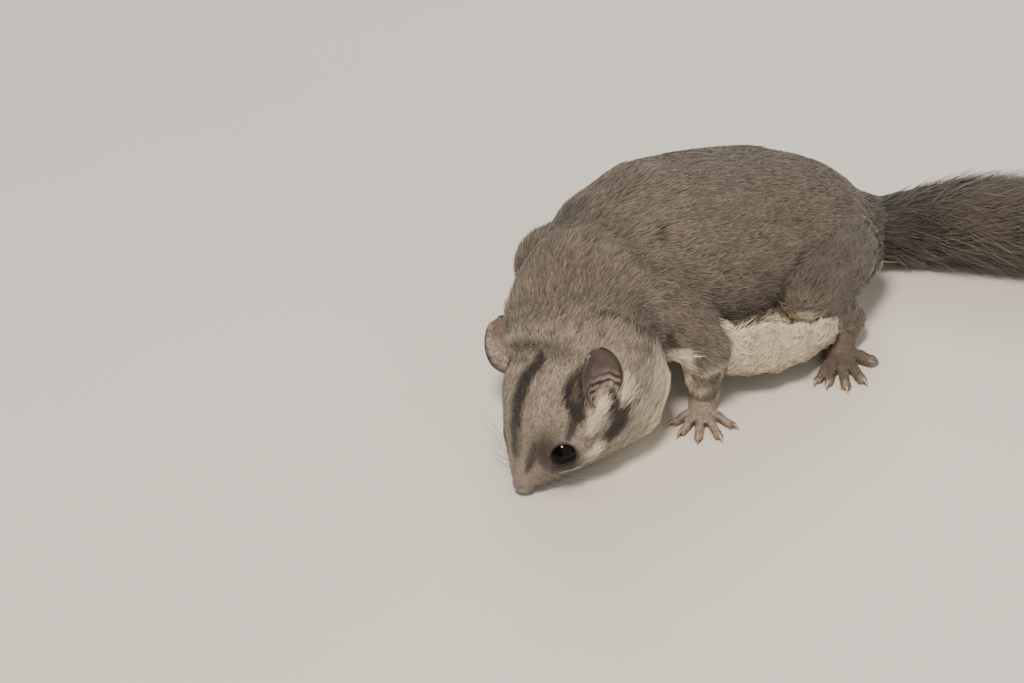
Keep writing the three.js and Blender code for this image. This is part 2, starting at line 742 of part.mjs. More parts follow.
const glider = new THREE.Group();
glider.name = "sugar_glider";
for (const [name, [made, color, roughness]] of shaped) {
  const standing = largest(made.subtract(ground));
  const material = new THREE.MeshStandardMaterial({ color, roughness, metalness: 0 });
  const mesh = new THREE.Mesh(geometryOf(standing), material);
  mesh.name = name;
  glider.add(mesh);
}

// The origin is on the ground, under the middle of the whole.
const box = new THREE.Box3().setFromObject(glider);
const middle = box.getCenter(new THREE.Vector3());
glider.position.set(-middle.x, -middle.y, -box.min.z);

export default glider;
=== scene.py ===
"""A still, life-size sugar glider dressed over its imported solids: skin, coat, ears, eyes and claws.

Sizes are in millimetres and repeat the named sizes of the solids. Blender's own units are metres.
"""
import math

import bpy
import numpy as np
import openvdb
from bpy.props import FloatProperty, FloatVectorProperty, PointerProperty
from mathutils import Matrix, Vector


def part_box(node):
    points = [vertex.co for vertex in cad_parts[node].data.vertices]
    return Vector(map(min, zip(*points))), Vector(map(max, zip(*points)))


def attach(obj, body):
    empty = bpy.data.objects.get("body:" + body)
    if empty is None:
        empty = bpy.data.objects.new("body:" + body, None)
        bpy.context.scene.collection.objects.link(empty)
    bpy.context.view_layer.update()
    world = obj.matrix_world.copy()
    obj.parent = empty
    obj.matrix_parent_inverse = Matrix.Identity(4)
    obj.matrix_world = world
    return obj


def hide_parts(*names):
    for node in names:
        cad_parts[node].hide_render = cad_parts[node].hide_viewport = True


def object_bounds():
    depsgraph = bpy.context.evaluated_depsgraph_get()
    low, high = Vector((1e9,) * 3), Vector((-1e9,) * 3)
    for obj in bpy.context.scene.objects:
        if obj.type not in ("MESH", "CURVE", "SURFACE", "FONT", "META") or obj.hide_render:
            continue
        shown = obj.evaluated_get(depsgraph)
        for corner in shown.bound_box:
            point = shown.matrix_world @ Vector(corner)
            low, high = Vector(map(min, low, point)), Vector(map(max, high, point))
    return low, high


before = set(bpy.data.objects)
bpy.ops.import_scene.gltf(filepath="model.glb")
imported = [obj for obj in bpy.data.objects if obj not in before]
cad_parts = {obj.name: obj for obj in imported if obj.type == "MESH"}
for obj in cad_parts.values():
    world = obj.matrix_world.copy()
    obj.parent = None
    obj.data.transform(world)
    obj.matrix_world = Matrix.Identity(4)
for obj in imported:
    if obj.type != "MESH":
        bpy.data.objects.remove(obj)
CAD_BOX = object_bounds()

bl_info = {
    "name": "Sugar glider",
    "version": (1, 0, 0),
    "blender": (4, 5, 0),
    "location": "3D View > Sidebar > Glider",
    "description": "Builds the skin, coat, ears, eyes, claws and whiskers of a still sugar glider",
    "category": "Object",
}

METRES = 0.001

# Where the animal stands in the frame

UP = np.array([0.0, 0.0, 1.0])


def unit(vectors):
    """The same directions with length one."""
    vectors = np.asarray(vectors, float)
    return vectors / np.maximum(np.linalg.norm(vectors, axis=-1, keepdims=True), 1e-9)


def mix(a, b, share):
    return a + (b - a) * share


def smooth(low, high, value):
    """0 below low, 1 above high and a soft step between."""
    share = np.clip((value - low) / (high - low), 0, 1)
    return share * share * (3 - 2 * share)


NOSE_TIP = (18, 53, 2.4)  # left, forward, up
HEAD_PITCH = 43  # degrees that the head points down
HEAD_YAW = 14  # degrees that the head turns to its left
HEAD_ROLL = 20  # degrees that its crown leans to its right
EYE_RADIUS = 4.1
EYE_PLACE = (11.6, 9.3, -0.2)  # behind the nose, to the side, towards the crown
EAR_LENGTH = 14
EAR_HALF_WIDTH = 6.2
EAR_PLACE = (26.2, 17.4, 2)
EAR_LIE = {1: (-0.62, 0.44, 0.65), -1: (-0.58, -0.6, 0.55)}
EAR_FACING = {1: (0.3, 0.89, -0.29), -1: (0.32, 0.5, 0.8)}

pitch, yaw, roll = (math.radians(turn) for turn in (HEAD_PITCH, HEAD_YAW, HEAD_ROLL))
HEAD_AHEAD = np.array([math.sin(yaw) * math.cos(pitch), -math.cos(yaw) * math.cos(pitch), -math.sin(pitch)])
HEAD_LEVEL = np.array([math.cos(yaw), math.sin(yaw), 0.0])
HEAD_LEFT = HEAD_LEVEL * math.cos(roll) + np.cross(HEAD_AHEAD, HEAD_LEVEL) * math.sin(roll)
HEAD_CROWN = np.cross(HEAD_AHEAD, HEAD_LEFT)
HEAD_WAYS = np.array([-HEAD_AHEAD, HEAD_LEFT, HEAD_CROWN])


def head_offset(place):
    behind, side, crown = place
    return np.array([behind, side, crown], float) @ HEAD_WAYS


def stand():
    """Millimetres from under the shoulders, where the sizes start, to the frame's origin."""
    low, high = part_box("eye_left")
    seen = np.array((low + high) / 2) / METRES
    own = np.array([NOSE_TIP[0], -NOSE_TIP[1], NOSE_TIP[2]]) + head_offset(EYE_PLACE)
    return seen - own


STAND = stand()


def at(left, forward, up):
    """A point given as left, forward and up from under the shoulders."""
    return np.array([left, -forward, up], float) + STAND


def way(left, forward, up):
    return unit([left, -forward, up])


def on_head(behind, side, crown):
    return at(*NOSE_TIP) + head_offset((behind, side, crown))


def head_way(ahead, left, crown):
    return unit(head_offset((-ahead, left, crown)))


def head_places(points):
    """Distance behind the nose, to the side and towards the crown of each point."""
    return (points - at(*NOSE_TIP)) @ HEAD_WAYS.T


# Curves and tubes


def curve(keys, shares):
    """Points of a centripetal Catmull-Rom curve through the keys."""
    keys = np.asarray(keys, float)
    last = len(keys) - 1
    place = np.clip(np.atleast_1d(np.asarray(shares, float)), 0, 1) * last
    span = np.minimum(place.astype(int), last - 1)
    w = (place - span)[:, None]
    padded = np.vstack([2 * keys[0] - keys[1], keys, 2 * keys[-1] - keys[-2]])
    a, b, c, d = (padded[span + k] for k in range(4))

    def root_gap(p, q):
        return np.sqrt(np.linalg.norm(q - p, axis=1, keepdims=True))

    middle = root_gap(b, c)
    middle = np.where(middle < 1e-4, 1, middle)
    before, after = (np.where(gap < 1e-4, middle, gap) for gap in (root_gap(a, b), root_gap(c, d)))
    start = ((b - a) / before - (c - a) / (before + middle) + (c - b) / middle) * middle
    end = ((c - b) / middle - (d - b) / (middle + after) + (d - c) / after) * middle
    return b + start * w + (3 * (c - b) - 2 * start - end) * w**2 + (2 * (b - c) + start + end) * w**3


def ring_quads(ids):
    """Quads between the rows of a grid of vertices whose columns close on themselves."""
    turned = np.roll(ids, -1, axis=1)
    return np.stack([ids[:-1], turned[:-1], turned[1:], ids[1:]], axis=-1).reshape(-1, 4)


def capped(ids, first, last):
    """Quads of closed rings, and triangles from the first and last ring to their poles."""
    turned = np.roll(ids, -1, axis=1)
    sides = ids.shape[1]
    start = np.stack([np.full(sides, first), turned[0], ids[0]], axis=-1)
    end = np.stack([np.full(sides, last), ids[-1], turned[-1]], axis=-1)
    return ring_quads(ids), np.vstack([start, end])


def closed_sheet(long, wide):
    """Quads of a thin sheet: one face, then its back with the later vertices, then the rim between."""
    ids = np.arange((long + 1) * (wide + 1)).reshape(long + 1, wide + 1)
    face = np.stack([ids[:-1, :-1], ids[:-1, 1:], ids[1:, 1:], ids[1:, :-1]], axis=-1).reshape(-1, 4)
    edge = np.concatenate([ids[0, :-1], ids[:-1, -1], ids[-1, :0:-1], ids[:0:-1, 0]])
    following = np.roll(edge, -1)
    rim = np.stack([following, edge, edge + ids.size, following + ids.size], axis=-1)
    return np.vstack([face, face[:, ::-1] + ids.size, rim])


CAP_TURNS = (18, 36, 54, 72)  # degrees round a tube's rounded end


class Tube:
    """Sections along a smooth line through keys (point, half width, above, below).

    inset is how far the skin lies inside the coat at each key, or one number for all, and least is the
    smallest half width.
    """

    def __init__(
        self, name, keys, inset=0.0, up=UP, steps=48, round_start=True, round_end=True, least=0.25
    ):
        self.name = name
        self.rounds = (round_start, round_end)
        self.shares = np.linspace(0, 1, steps + 1)
        line = [key[0] for key in keys]
        sizes = [(key[1], key[2] if len(key) > 2 else key[1], key[-1]) for key in keys]
        insets = np.broadcast_to(np.asarray(inset, float), (len(keys),))
        self.centres = curve(line, self.shares)
        self.ahead = unit(curve(line, self.shares + 1e-3) - curve(line, self.shares - 1e-3))
        self.left = unit(np.cross(up, self.ahead))
        self.dorsal = np.cross(self.ahead, self.left)
        self.coat = np.maximum(curve(sizes, self.shares), least)
        depth = np.interp(self.shares, np.linspace(0, 1, len(keys)), insets)[:, None]
        self.sizes = np.maximum(self.coat - depth, least)

    def ring(self, index, turns, scale=1.0, push=0.0):
        wide, above, below = self.sizes[index] * scale
        rise = np.sin(turns)[:, None]
        high = np.where(rise > 0, above, below)
        centre = self.centres[index] + self.ahead[index] * push
        return centre + self.left[index] * wide * np.cos(turns)[:, None] + self.dorsal[index] * high * rise

    def mesh(self, sides=36):
        """Vertices, quads and triangles of the closed tube."""
        turns = np.linspace(0, 2 * math.pi, sides, endpoint=False)
        caps = [math.radians(turn) for turn in CAP_TURNS]
        rings = [self.ring(i, turns) for i in range(len(self.shares))]
        poles = []
        for end, sign, rounded in ((0, -1, self.rounds[0]), (-1, 1, self.rounds[1])):
            reach = self.sizes[end].min() if rounded else 0.0
            cap = []
            if rounded:
                cap = [self.ring(end, turns, math.cos(a), sign * reach * math.sin(a)) for a in caps]
            rings = cap[::-1] + rings if sign < 0 else rings + cap
            poles.append(self.centres[end] + self.ahead[end] * sign * reach)
        points = np.vstack(rings + [poles])
        ring_ids = np.arange(len(rings) * sides).reshape(len(rings), sides)
        return points, *capped(ring_ids, len(points) - 2, len(points) - 1)


# The animal's own sizes, as in the solids

SIDES = (1, -1)  # left, right
SIDE_WORDS = ((1, "left"), (-1, "right"))
RIGHT_ARM_ADVANCE = 4

TORSO = [
    ((0, -70, 13), 8, 6.5, 7),
    ((0, -63, 16.5), 12, 9.5, 11.5),
    ((0, -52, 21.5), 18, 15.5, 17.5),
    ((0, -36, 26), 24, 21, 22),
    ((0, -16, 29.5), 25, 24.5, 25),
    ((0, 0, 32), 22.5, 26, 26),
    ((0, 11, 33.5), 19.5, 21.5, 24),
    ((1, 18, 33), 12, 13, 14),
]
NECK = [
    ((1.5, 8, 33.5), 13, 16, 13),
    ((4, 18, 32), 18.5, 19.5, 20),
    ((10, 28, 28.5), 18.5, 11.5, 19),
    ((12.5, 34, 25.5), 14, 10, 12),
]
HEAD = [
    (46, 9, 4.6, 9),
    (41, 16.5, 7, 19.5),
    (33, 20.6, 8.6, 24),
    (25, 20, 11, 24),
    (18.5, 16.8, 11.2, 19.3),
    (13, 13.6, 9.2, 14.8),
    (9, 10.6, 7.3, 11),
    (5.5, 7.5, 5.3, 7.3),
    (2.8, 4.8, 4, 4.6),
    (0.9, 2.9, 2.7, 2.6),
]
# Depth of the coat at each of the head's sections, and on the trunk
HEAD_COAT = (1.3, 1.3, 1.3, 1.1, 0.9, 0.7, 0.5, 0.35, 0.25, 0.2)
BODY_COAT = 1.3
TAIL = [
    ((0.5, -60, 15.5), 8.5),
    ((4.5, -71, 11.8), 12.2, 11, 11.2),
    ((15, -83, 12), 13.8, 12.4, 12.5),
    ((31, -97, 12.3), 14.2, 13, 12.8),
    ((50, -114, 12), 14, 12.8, 12.5),
    ((68, -134, 11.2), 13.2, 12.2, 11.7),
    ((84, -156, 9.8), 11.6, 10.8, 10.3),
    ((96, -180, 7.8), 9.2, 8.6, 8.3),
    ((103, -204, 5.2), 5.8, 5.3, 5.6),
    ((105, -218, 2.6), 1.6, 1.6, 2.4),
]
SHOULDER, ELBOW, WRIST = (15, 11, 32), (24, 1, 22), (22.5, 0.5, 7.5)
HIP, KNEE, ANKLE = (14, -50, 19.5), (24.5, -31, 21.5), (26, -42, 8)
HAND, HAND_HEADING = (22.5, 2, 3), 50
FINGERS = [(-66, 4.8, 1.05), (-34, 6, 1.1), (-4, 7.2, 1.15), (24, 7.8, 1.15), (54, 6.4, 1.1)]
FOOT, FOOT_HEADING = (28, -37, 3), 50
TOES = [(-30, 7, 1.1), (-14, 7.4, 1.1), (8, 9, 1.3), (30, 8.2, 1.3)]
BIG_TOE = (72, 6.5, 1.6)
CLAW_LENGTH = 2.6
DIGIT_SINK = 0.25  # how far a digit is pressed flat on the ground
MEMBRANE = {
    "top": [(20.5, -3, 20), (23.5, -13, 21), (24, -23, 19), (24.5, -31, 16)],
    "fold": [(24.5, -4.5, 10), (29, -13, 8.6), (30, -23, 7.6), (28.5, -34, 7.5)],
    "rim": [(27, -3.5, 22), (33, -10.5, 24), (34.5, -22, 19), (30.5, -34.5, 14)],
}
RUFFLES, RUFFLE_DEPTH = 3.5, 1.7


def keyed(side, keys):
    return [(at(key[0][0] * side, key[0][1], key[0][2]), *key[1:]) for key in keys]


def arm_point(side, place):
    return at(place[0] * side, place[1] + (RIGHT_ARM_ADVANCE if side < 0 else 0), place[2])


def between(a, b, share):
    return tuple(mix(p, q, share) for p, q in zip(a, b))


def digit_line(root, heading, length, tip_height):
    """Centres of one digit from its root to the ground, arched at the knuckle."""
    ahead = way(math.sin(heading), math.cos(heading), 0)
    knuckle = max(root[2], tip_height + 1.3)
    heights = (root[2], knuckle, mix(knuckle, tip_height, 0.7), tip_height)
    line = []
    for share, height in zip((0, 0.42, 0.78, 1), heights):
        point = root + ahead * length * share
        point[2] = height
        line.append(point)
    return line, ahead


def digits_of(side):
    """Every digit of one side as (name, line, ahead, radius, clawed)."""
    made = []
    for number, (turn, length, radius) in enumerate(FINGERS):
        heading = math.radians(HAND_HEADING + turn)
        place = (HAND[0] + 1.4 + 2.2 * math.sin(heading), HAND[1] + 1 + 2.2 * math.cos(heading), 2.3)
        line, ahead = digit_line(arm_point(side, place), heading * side, length, radius - DIGIT_SINK)
        made.append((f"finger_{number}", line, ahead, radius, True))
    toes = [(*toe, 3, True) for toe in TOES] + [(*BIG_TOE, 2, False)]
    for number, (turn, length, radius, out, clawed) in enumerate(toes):
        heading = math.radians(FOOT_HEADING + turn)
        place = (FOOT[0] + 1.8 + out * math.sin(heading), FOOT[1] + 1.4 + out * math.cos(heading), 2.5)
        root = at(place[0] * side, place[1], place[2])
        line, ahead = digit_line(root, heading * side, length, radius - DIGIT_SINK)
        made.append((f"toe_{number}", line, ahead, radius, clawed))
    return made


def tail_core_share(shares):
    """Half width of the tail's flesh and underfur as a share of its coat's reach."""
    return mix(0.74, 0.5, smooth(0, 0.2, shares))


DIGIT_WIDTHS = (1.05, 1.0, 0.92, 1.0)  # of a digit's radius, from its root to its tip


def body_tubes():
    """Every tube of flesh, inset by the depth of its coat."""
    forward = way(0, 1, 0)
    tubes = [
        Tube("torso", keyed(1, TORSO), BODY_COAT, steps=60),
        Tube("neck", keyed(1, NECK), BODY_COAT, steps=24, round_end=False),
        Tube("head", [(on_head(key[0], 0, 0), *key[1:]) for key in HEAD], HEAD_COAT, HEAD_CROWN, steps=60),
    ]
    tail = Tube("tail", keyed(1, TAIL), 0, steps=90)
    tail.sizes = tail.coat * tail_core_share(tail.shares)[:, None]
    tubes.append(tail)
    for side in SIDES:
        def arm(place):
            return arm_point(side, place)

        def leg(place):
            return at(place[0] * side, place[1], place[2])

        upper = [(arm(SHOULDER), 10.5), (arm(between(SHOULDER, ELBOW, 0.5)), 9.5), (arm(ELBOW), 7)]
        fore = [(arm(between(ELBOW, WRIST, s)), r) for s, r in ((0.1, 6.7), (0.55, 5.5), (1, 4))]
        thigh = [(leg(HIP), 12, 12, 11.5), (leg(between(HIP, KNEE, 0.5)), 12, 12, 11.5), (leg(KNEE), 9)]
        shin = [(leg(between(KNEE, ANKLE, s)), r) for s, r in ((0.12, 7.6), (0.6, 6.2), (1, 4.6))]
        palm = [
            (arm(between(WRIST, HAND, 0.08)), 3.2, 3, 3),
            (arm(between(WRIST, HAND, 0.6)), 3.5, 2.8, 2.8),
            (arm((HAND[0] + 1.8, HAND[1] + 1.4, 2.3)), 3.6, 2.2, 2.3),
        ]
        sole = [
            (leg(between(ANKLE, FOOT, 0.05)), 4.2, 4.1, 4.1),
            (leg(between(ANKLE, FOOT, 0.55)), 4.4, 3.5, 3.5),
            (leg((FOOT[0] + 2.4, FOOT[1] + 2, 2.5)), 4.3, 2.4, 2.5),
        ]
        tubes += [
            Tube("upper_arm", upper, (1.3, 1.2, 1.0), steps=20),
            Tube("forearm", fore, (1.0, 0.8, 0.6), forward, steps=20),
            Tube("thigh", thigh, (1.3, 1.3, 1.1), steps=20),
            Tube("shin", shin, (1.1, 0.9, 0.7), forward, steps=20),
            Tube("palm", palm, (0.6, 0.5, 0.3), steps=12),
            Tube("sole", sole, (0.8, 0.7, 0.4), steps=12),
        ]
        for name, line, _, radius, _ in digits_of(side):
            keys = [(point, radius * size) for point, size in zip(line, DIGIT_WIDTHS)]
            tubes.append(Tube(name, keys, 0.05, steps=10))
    return tubes


MOUTH_SHARES = (0.68, 0.76, 0.84, 0.92, 0.96)  # of the head's length, from the corner to the lips
MOUTH_TURN = -38  # degrees below the side of the head


def mouth_line(head):
    """Points along the mouth, from its left corner round the lips to its right corner."""
    def on_face(share, degrees):
        return head.ring(round(share * (len(head.shares) - 1)), np.array([math.radians(degrees)]))[0]

    left = [on_face(share, MOUTH_TURN) for share in MOUTH_SHARES]
    right = [on_face(share, 180 - MOUTH_TURN) for share in MOUTH_SHARES[::-1]]
    return left + [on_face(0.985, -90)] + right


def membrane_middle(side, u, v):
    """Middle of the gliding membrane at shares along the flank and from the flank to the ruffled edge."""
    lines = {
        name: curve([at(key[0] * side, key[1], key[2]) for key in keys], u.ravel()).reshape(*u.shape, 3)
        for name, keys in MEMBRANE.items()
    }
    pull = 2 * lines["fold"] - (lines["top"] + lines["rim"]) / 2
    v = v[..., None]
    point = (1 - v) ** 2 * lines["top"] + 2 * v * (1 - v) * pull + v**2 * lines["rim"]
    outward = v[..., 0]
    wave = np.sin(2 * math.pi * RUFFLES * u + 1.2 * outward) * RUFFLE_DEPTH * outward * np.sin(math.pi * u)
    point[..., 0] += side * wave * 0.8
    point[..., 2] = np.maximum(point[..., 2] + wave * 0.7, 1.9)
    return point


def membrane_mesh(side, thickness=1.1, long=90, wide=36):
    u, v = np.meshgrid(np.linspace(0, 1, long + 1), np.linspace(0, 1, wide + 1), indexing="ij")
    middle = membrane_middle(side, u, v)
    normal = unit(np.cross(np.gradient(middle, axis=0), np.gradient(middle, axis=1)))
    grids = [middle - normal * thickness / 2, middle + normal * thickness / 2]
    points = np.concatenate([grid.reshape(-1, 3) for grid in grids])
    return points, closed_sheet(long, wide), np.zeros((0, 3), int)


# The body as a field of distances, from which one skin without a seam is drawn


class Flesh:
    """Distances in millimetres to the skin on a regular grid."""

    def __init__(self, voxel, reach=5.0):
        self.voxel = voxel
        self.band = reach / voxel
        low, high = (np.array(corner) / METRES for corner in CAD_BOX)
        self.low = np.floor((low - reach) / voxel).astype(int)
        count = np.ceil((high + reach) / voxel).astype(int) - self.low
        self.field = np.full(tuple(count), reach, np.float32)

    def sampled(self, mesh):
        """A closed mesh as distances, with the slices of the grid it covers."""
        points, quads, triangles = mesh
        grid = openvdb.FloatGrid.createLevelSetFromPolygons(
            points.astype(np.float32),
            triangles=triangles.astype(np.uint32),
            quads=quads.astype(np.uint32),
            transform=openvdb.createLinearTransform(voxelSize=self.voxel),
            halfWidth=self.band,
        )
        low, high = (np.array(corner) for corner in grid.evalActiveVoxelBoundingBox())
        low = np.maximum(low, self.low)
        high = np.minimum(high, self.low + np.array(self.field.shape) - 1)
        values = np.zeros(tuple(high - low + 1), np.float32)
        grid.copyToArray(values, ijk=tuple(int(v) for v in low))
        return values, tuple(slice(a, b + 1) for a, b in zip(low - self.low, high - self.low))

    def add(self, mesh, blend):
        values, place = self.sampled(mesh)
        old = self.field[place]
        meet = np.maximum(blend - np.abs(old - values), 0) / blend
        self.field[place] = np.minimum(old, values) - meet * meet * blend / 4

    def carve(self, mesh, blend):
        values, place = self.sampled(mesh)
        old = self.field[place]
        meet = np.maximum(blend - np.abs(old + values), 0) / blend
        self.field[place] = np.maximum(old, -values) + meet * meet * blend / 4

    def surface(self, adaptivity):
        grid = openvdb.FloatGrid(float(self.field.max()))
        grid.copyFromArray(self.field, ijk=tuple(int(v) for v in self.low))
        grid.transform = openvdb.createLinearTransform(voxelSize=self.voxel)
        points, triangles, quads = grid.convertToPolygons(0.0, adaptivity)
        return points.astype(float), triangles.astype(int), quads.astype(int)


def ball(centre, radii, ways=None, sides=24, rows=14):
    """A closed ellipsoid; ways are its three directions."""
    ways = np.eye(3) if ways is None else np.asarray(ways)
    turns = np.linspace(0, 2 * math.pi, sides, endpoint=False)
    lifts = np.linspace(-math.pi / 2, math.pi / 2, rows + 1)[1:-1]
    spots = [
        (math.cos(lift) * math.cos(turn), math.cos(lift) * math.sin(turn), math.sin(lift))
        for lift in lifts
        for turn in turns
    ]
    spots += [(0, 0, -1), (0, 0, 1)]
    points = centre + (np.array(spots) * np.asarray(radii, float)) @ ways
    ids = np.arange(len(lifts) * sides).reshape(len(lifts), sides)
    return points, *capped(ids, ids.size, ids.size + 1)


def eye_centre(side):
    return on_head(EYE_PLACE[0], EYE_PLACE[1] * side, EYE_PLACE[2])


EYE_LOOK = (0.42, 0.85, 0.36)  # ahead, outwards, towards the crown


def eye_axis(side):
    """The way an eye looks: outwards, a little forwards and up."""
    ahead, out, crown = EYE_LOOK
    return head_way(ahead, out * side, crown)


def eye_ways(side):
    """An eye's axis, its way towards the nose and its way up."""
    axis = eye_axis(side)
    forward = unit(on_head(0, 0, 0) - eye_centre(side))
    forward = unit(forward - axis * (forward @ axis))
    return axis, forward, np.cross(axis, forward) * side


# Colours and materials


def linear(hex_value):
    """An sRGB hex colour as linear red, green, blue and alpha."""
    parts = [((hex_value >> shift) & 255) / 255 for shift in (16, 8, 0)]
    return tuple(c / 12.92 if c <= 0.04045 else ((c + 0.055) / 1.055) ** 2.4 for c in parts) + (1.0,)


def add_node(tree, kind, settings=None, links=None):
    """Adds a node, sets its properties or its inputs by name or number, and links its inputs."""
    node = tree.nodes.new(kind)
    for name, value in (settings or {}).items():
        if isinstance(name, int) or name in node.inputs:
            node.inputs[name].default_value = value
        else:
            setattr(node, name, value)
    for name, socket in (links or {}).items():
        tree.links.new(socket, node.inputs[name])
    return node


def new_material(name):
    material = bpy.data.materials.new(name)
    material.use_nodes = True
    tree = material.node_tree
    tree.nodes.clear()
    shader = add_node(tree, "ShaderNodeBsdfPrincipled")
    add_node(tree, "ShaderNodeOutputMaterial", links={"Surface": shader.outputs[0]})
    return material, tree, shader


def ramp_node(tree, factor, stops):
    """A colour ramp; stops are (place, hex colour or linear colour)."""
    node = add_node(tree, "ShaderNodeValToRGB", links={"Fac": factor})
    elements = node.color_ramp.elements
    while len(elements) < len(stops):
        elements.new(0.5)
    for element, (place, colour) in zip(elements, stops):
        element.position = place
        element.color = linear(colour) if isinstance(colour, int) else colour
    return node.outputs["Color"]


def mixed_colour(tree, factor, a, b):
    node = add_node(tree, "ShaderNodeMix", {"data_type": "RGBA"}, {0: factor, 6: a, 7: b})
    return node.outputs[2]


def field_socket(tree, name):
    return add_node(tree, "ShaderNodeAttribute", {"attribute_name": name}).outputs["Fac"]


# Brightness of a hair from root to tip, as (place, share of the tip's colour)
OVER_DARK_ROOTS = ((0.0, 0.07), (0.4, 0.27), (0.75, 0.65), (1.0, 1.2))
PALE_THROUGHOUT = ((0.0, 0.42), (0.5, 0.78), (1.0, 1.0))


def shaded_stops(colour, shares=OVER_DARK_ROOTS):
    """Stops of a ramp with the colour at different brightness, by default along a hair."""
    return [(place, [part * share for part in colour[:3]] + [1.0]) for place, share in shares]


def fur_colour(tree, factor, colours, ground):
    """Hair colour at a share from root to tip, mixed by the marks and the painted crease shade that skin
    and coat carry alike.
    """
    colour = ramp_node(tree, factor, shaded_stops(ground))
    marks = (
        ("tan", shaded_stops(colours.tan_fur)),
        ("cream", shaded_stops(colours.cream_fur, PALE_THROUGHOUT)),
        ("dark", shaded_stops(colours.dark_fur)),
    )
    for mark, stops in marks:
        colour = mixed_colour(tree, field_socket(tree, mark), colour, ramp_node(tree, factor, stops))
    return colour


def hair_material(name, colours, ground, roughness):
    """Hair tufts: soft, with pale tips over dark roots, and a faint sheen along the outline."""
    material, tree, shader = new_material(name)
    colour = fur_colour(tree, field_socket(tree, "tip"), colours, ground)
    own_shade = field_socket(tree, "shade")
    shade = add_node(tree, "ShaderNodeMapRange", {"To Min": 0.6, "To Max": 1.35}, {0: own_shade})
    tinted = add_node(tree, "ShaderNodeHueSaturation", {}, {"Color": colour, "Value": shade.outputs[0]})
    tree.links.new(tinted.outputs[0], shader.inputs["Base Color"])
    shader.inputs["Roughness"].default_value = roughness
    shader.inputs["Specular IOR Level"].default_value = 0.35
    shader.inputs["Sheen Weight"].default_value = 0.25
    shader.inputs["Sheen Roughness"].default_value = 0.5
    return material


# Brightness of bare skin: darker in its pores and creases than on its ridges
PORES_TO_RIDGES = ((0.3, 0.55), (0.55, 1), (0.78, 1.3))


def wrinkle(tree, shader, place, scale, strength, depth):
    """Fine creases in the surface, scale cells a metre and depth metres deep."""
    creases = add_node(tree, "ShaderNodeTexVoronoi", {"Scale": scale}, {"Vector": place})
    settings = {"Strength": strength, "Distance": depth}
    bump = add_node(tree, "ShaderNodeBump", settings, {"Height": creases.outputs[0]})
    tree.links.new(bump.outputs[0], shader.inputs["Normal"])


def skin_material(colours):
    """Underfur over skin, bare on digits and nose: matt, with a fine nap, pinkish where it is bare."""
    material, tree, shader = new_material("underfur_and_bare_skin")
    place = add_node(tree, "ShaderNodeTexCoord").outputs["Object"]
    nap = add_node(tree, "ShaderNodeTexNoise", {"Scale": 1400.0, "Detail": 3.0}, {"Vector": place})
    depth = add_node(tree, "ShaderNodeMapRange", {"To Min": 0.3, "To Max": 0.72}, {0: nap.outputs[0]})
    fur = fur_colour(tree, depth.outputs[0], colours, colours.grey_fur)
    pores = add_node(tree, "ShaderNodeTexNoise", {"Scale": 900.0, "Detail": 4.0}, {"Vector": place})
    bare = ramp_node(tree, pores.outputs[0], shaded_stops(colours.bare_skin, PORES_TO_RIDGES))
    colour = mixed_colour(tree, field_socket(tree, "bare"), fur, bare)
    tree.links.new(colour, shader.inputs["Base Color"])
    wrinkle(tree, shader, place, 1500.0, 0.5, 0.0003)
    shader.inputs["Roughness"].default_value = 0.62
    return material


def eye_material():
    """A dark wet eye: near black with a brown depth, under a mirror-smooth film."""
    material, tree, shader = new_material("wet_dark_eye")
    facing = add_node(tree, "ShaderNodeLayerWeight", {"Blend": 0.35})
    depths = [(0.0, 0x050303), (0.7, 0x140B07), (1.0, 0x2C1A10)]
    colour = ramp_node(tree, facing.outputs["Facing"], depths)
    tree.links.new(colour, shader.inputs["Base Color"])
    shader.inputs["Roughness"].default_value = 0.03
    shader.inputs["IOR"].default_value = 1.38
    shader.inputs["Specular IOR Level"].default_value = 0.22
    return material


def bare_material(name, colour, roughness, scale=900.0, depth=0.0002, soft=0.15):
    """Thin bare skin: fine creases, soft light inside, darker where the field dark says so."""
    material, tree, shader = new_material(name)
    place = add_node(tree, "ShaderNodeTexCoord").outputs["Object"]
    blotch = add_node(tree, "ShaderNodeTexNoise", {"Scale": scale / 3, "Detail": 4.0}, {"Vector": place})
    light = ramp_node(tree, blotch.outputs[0], shaded_stops(colour, PORES_TO_RIDGES))
    # Dark skin; through the dark field it also gives the painted shade of the ear's fold grooves, the near
    # ear's tip and the nostrils
    dark = ramp_node(tree, blotch.outputs[0], [(0.3, 0x241B18), (0.7, 0x43352F)])
    colour = mixed_colour(tree, field_socket(tree, "dark"), light, dark)
    tree.links.new(colour, shader.inputs["Base Color"])
    wrinkle(tree, shader, place, scale, 0.6, depth)
    shader.inputs["Roughness"].default_value = roughness
    shader.inputs["Subsurface Weight"].default_value = soft
    shader.inputs["Subsurface Radius"].default_value = (0.002, 0.0008, 0.0005)
    return material


def plain_material(name, stops, roughness, scale):
    """One surface with a slight, uneven change of colour."""
    material, tree, shader = new_material(name)
    place = add_node(tree, "ShaderNodeTexCoord").outputs["Object"]
    noise = add_node(tree, "ShaderNodeTexNoise", {"Scale": scale, "Detail": 3.0}, {"Vector": place})
    tree.links.new(ramp_node(tree, noise.outputs[0], stops), shader.inputs["Base Color"])
    shader.inputs["Roughness"].default_value = roughness
    return material


# Pieces


def store(mesh, fields):
    """Keeps arrays of numbers or of vectors on a mesh, one value for each vertex."""
    for field, values in fields.items():
        kind = {1: "FLOAT", 2: "FLOAT_VECTOR"}[np.ndim(values)]
        attribute = mesh.attributes.new(field, kind, "POINT")
        values = np.asarray(values, np.float32).ravel()
        attribute.data.foreach_set("value" if kind == "FLOAT" else "vector", values)


def vectors_of(mesh, name):
    """The place or the normal of each vertex of a mesh, as an array."""
    values = np.empty(len(mesh.vertices) * 3, np.float32)
    mesh.vertices.foreach_get(name, values)
    return values.reshape(-1, 3)


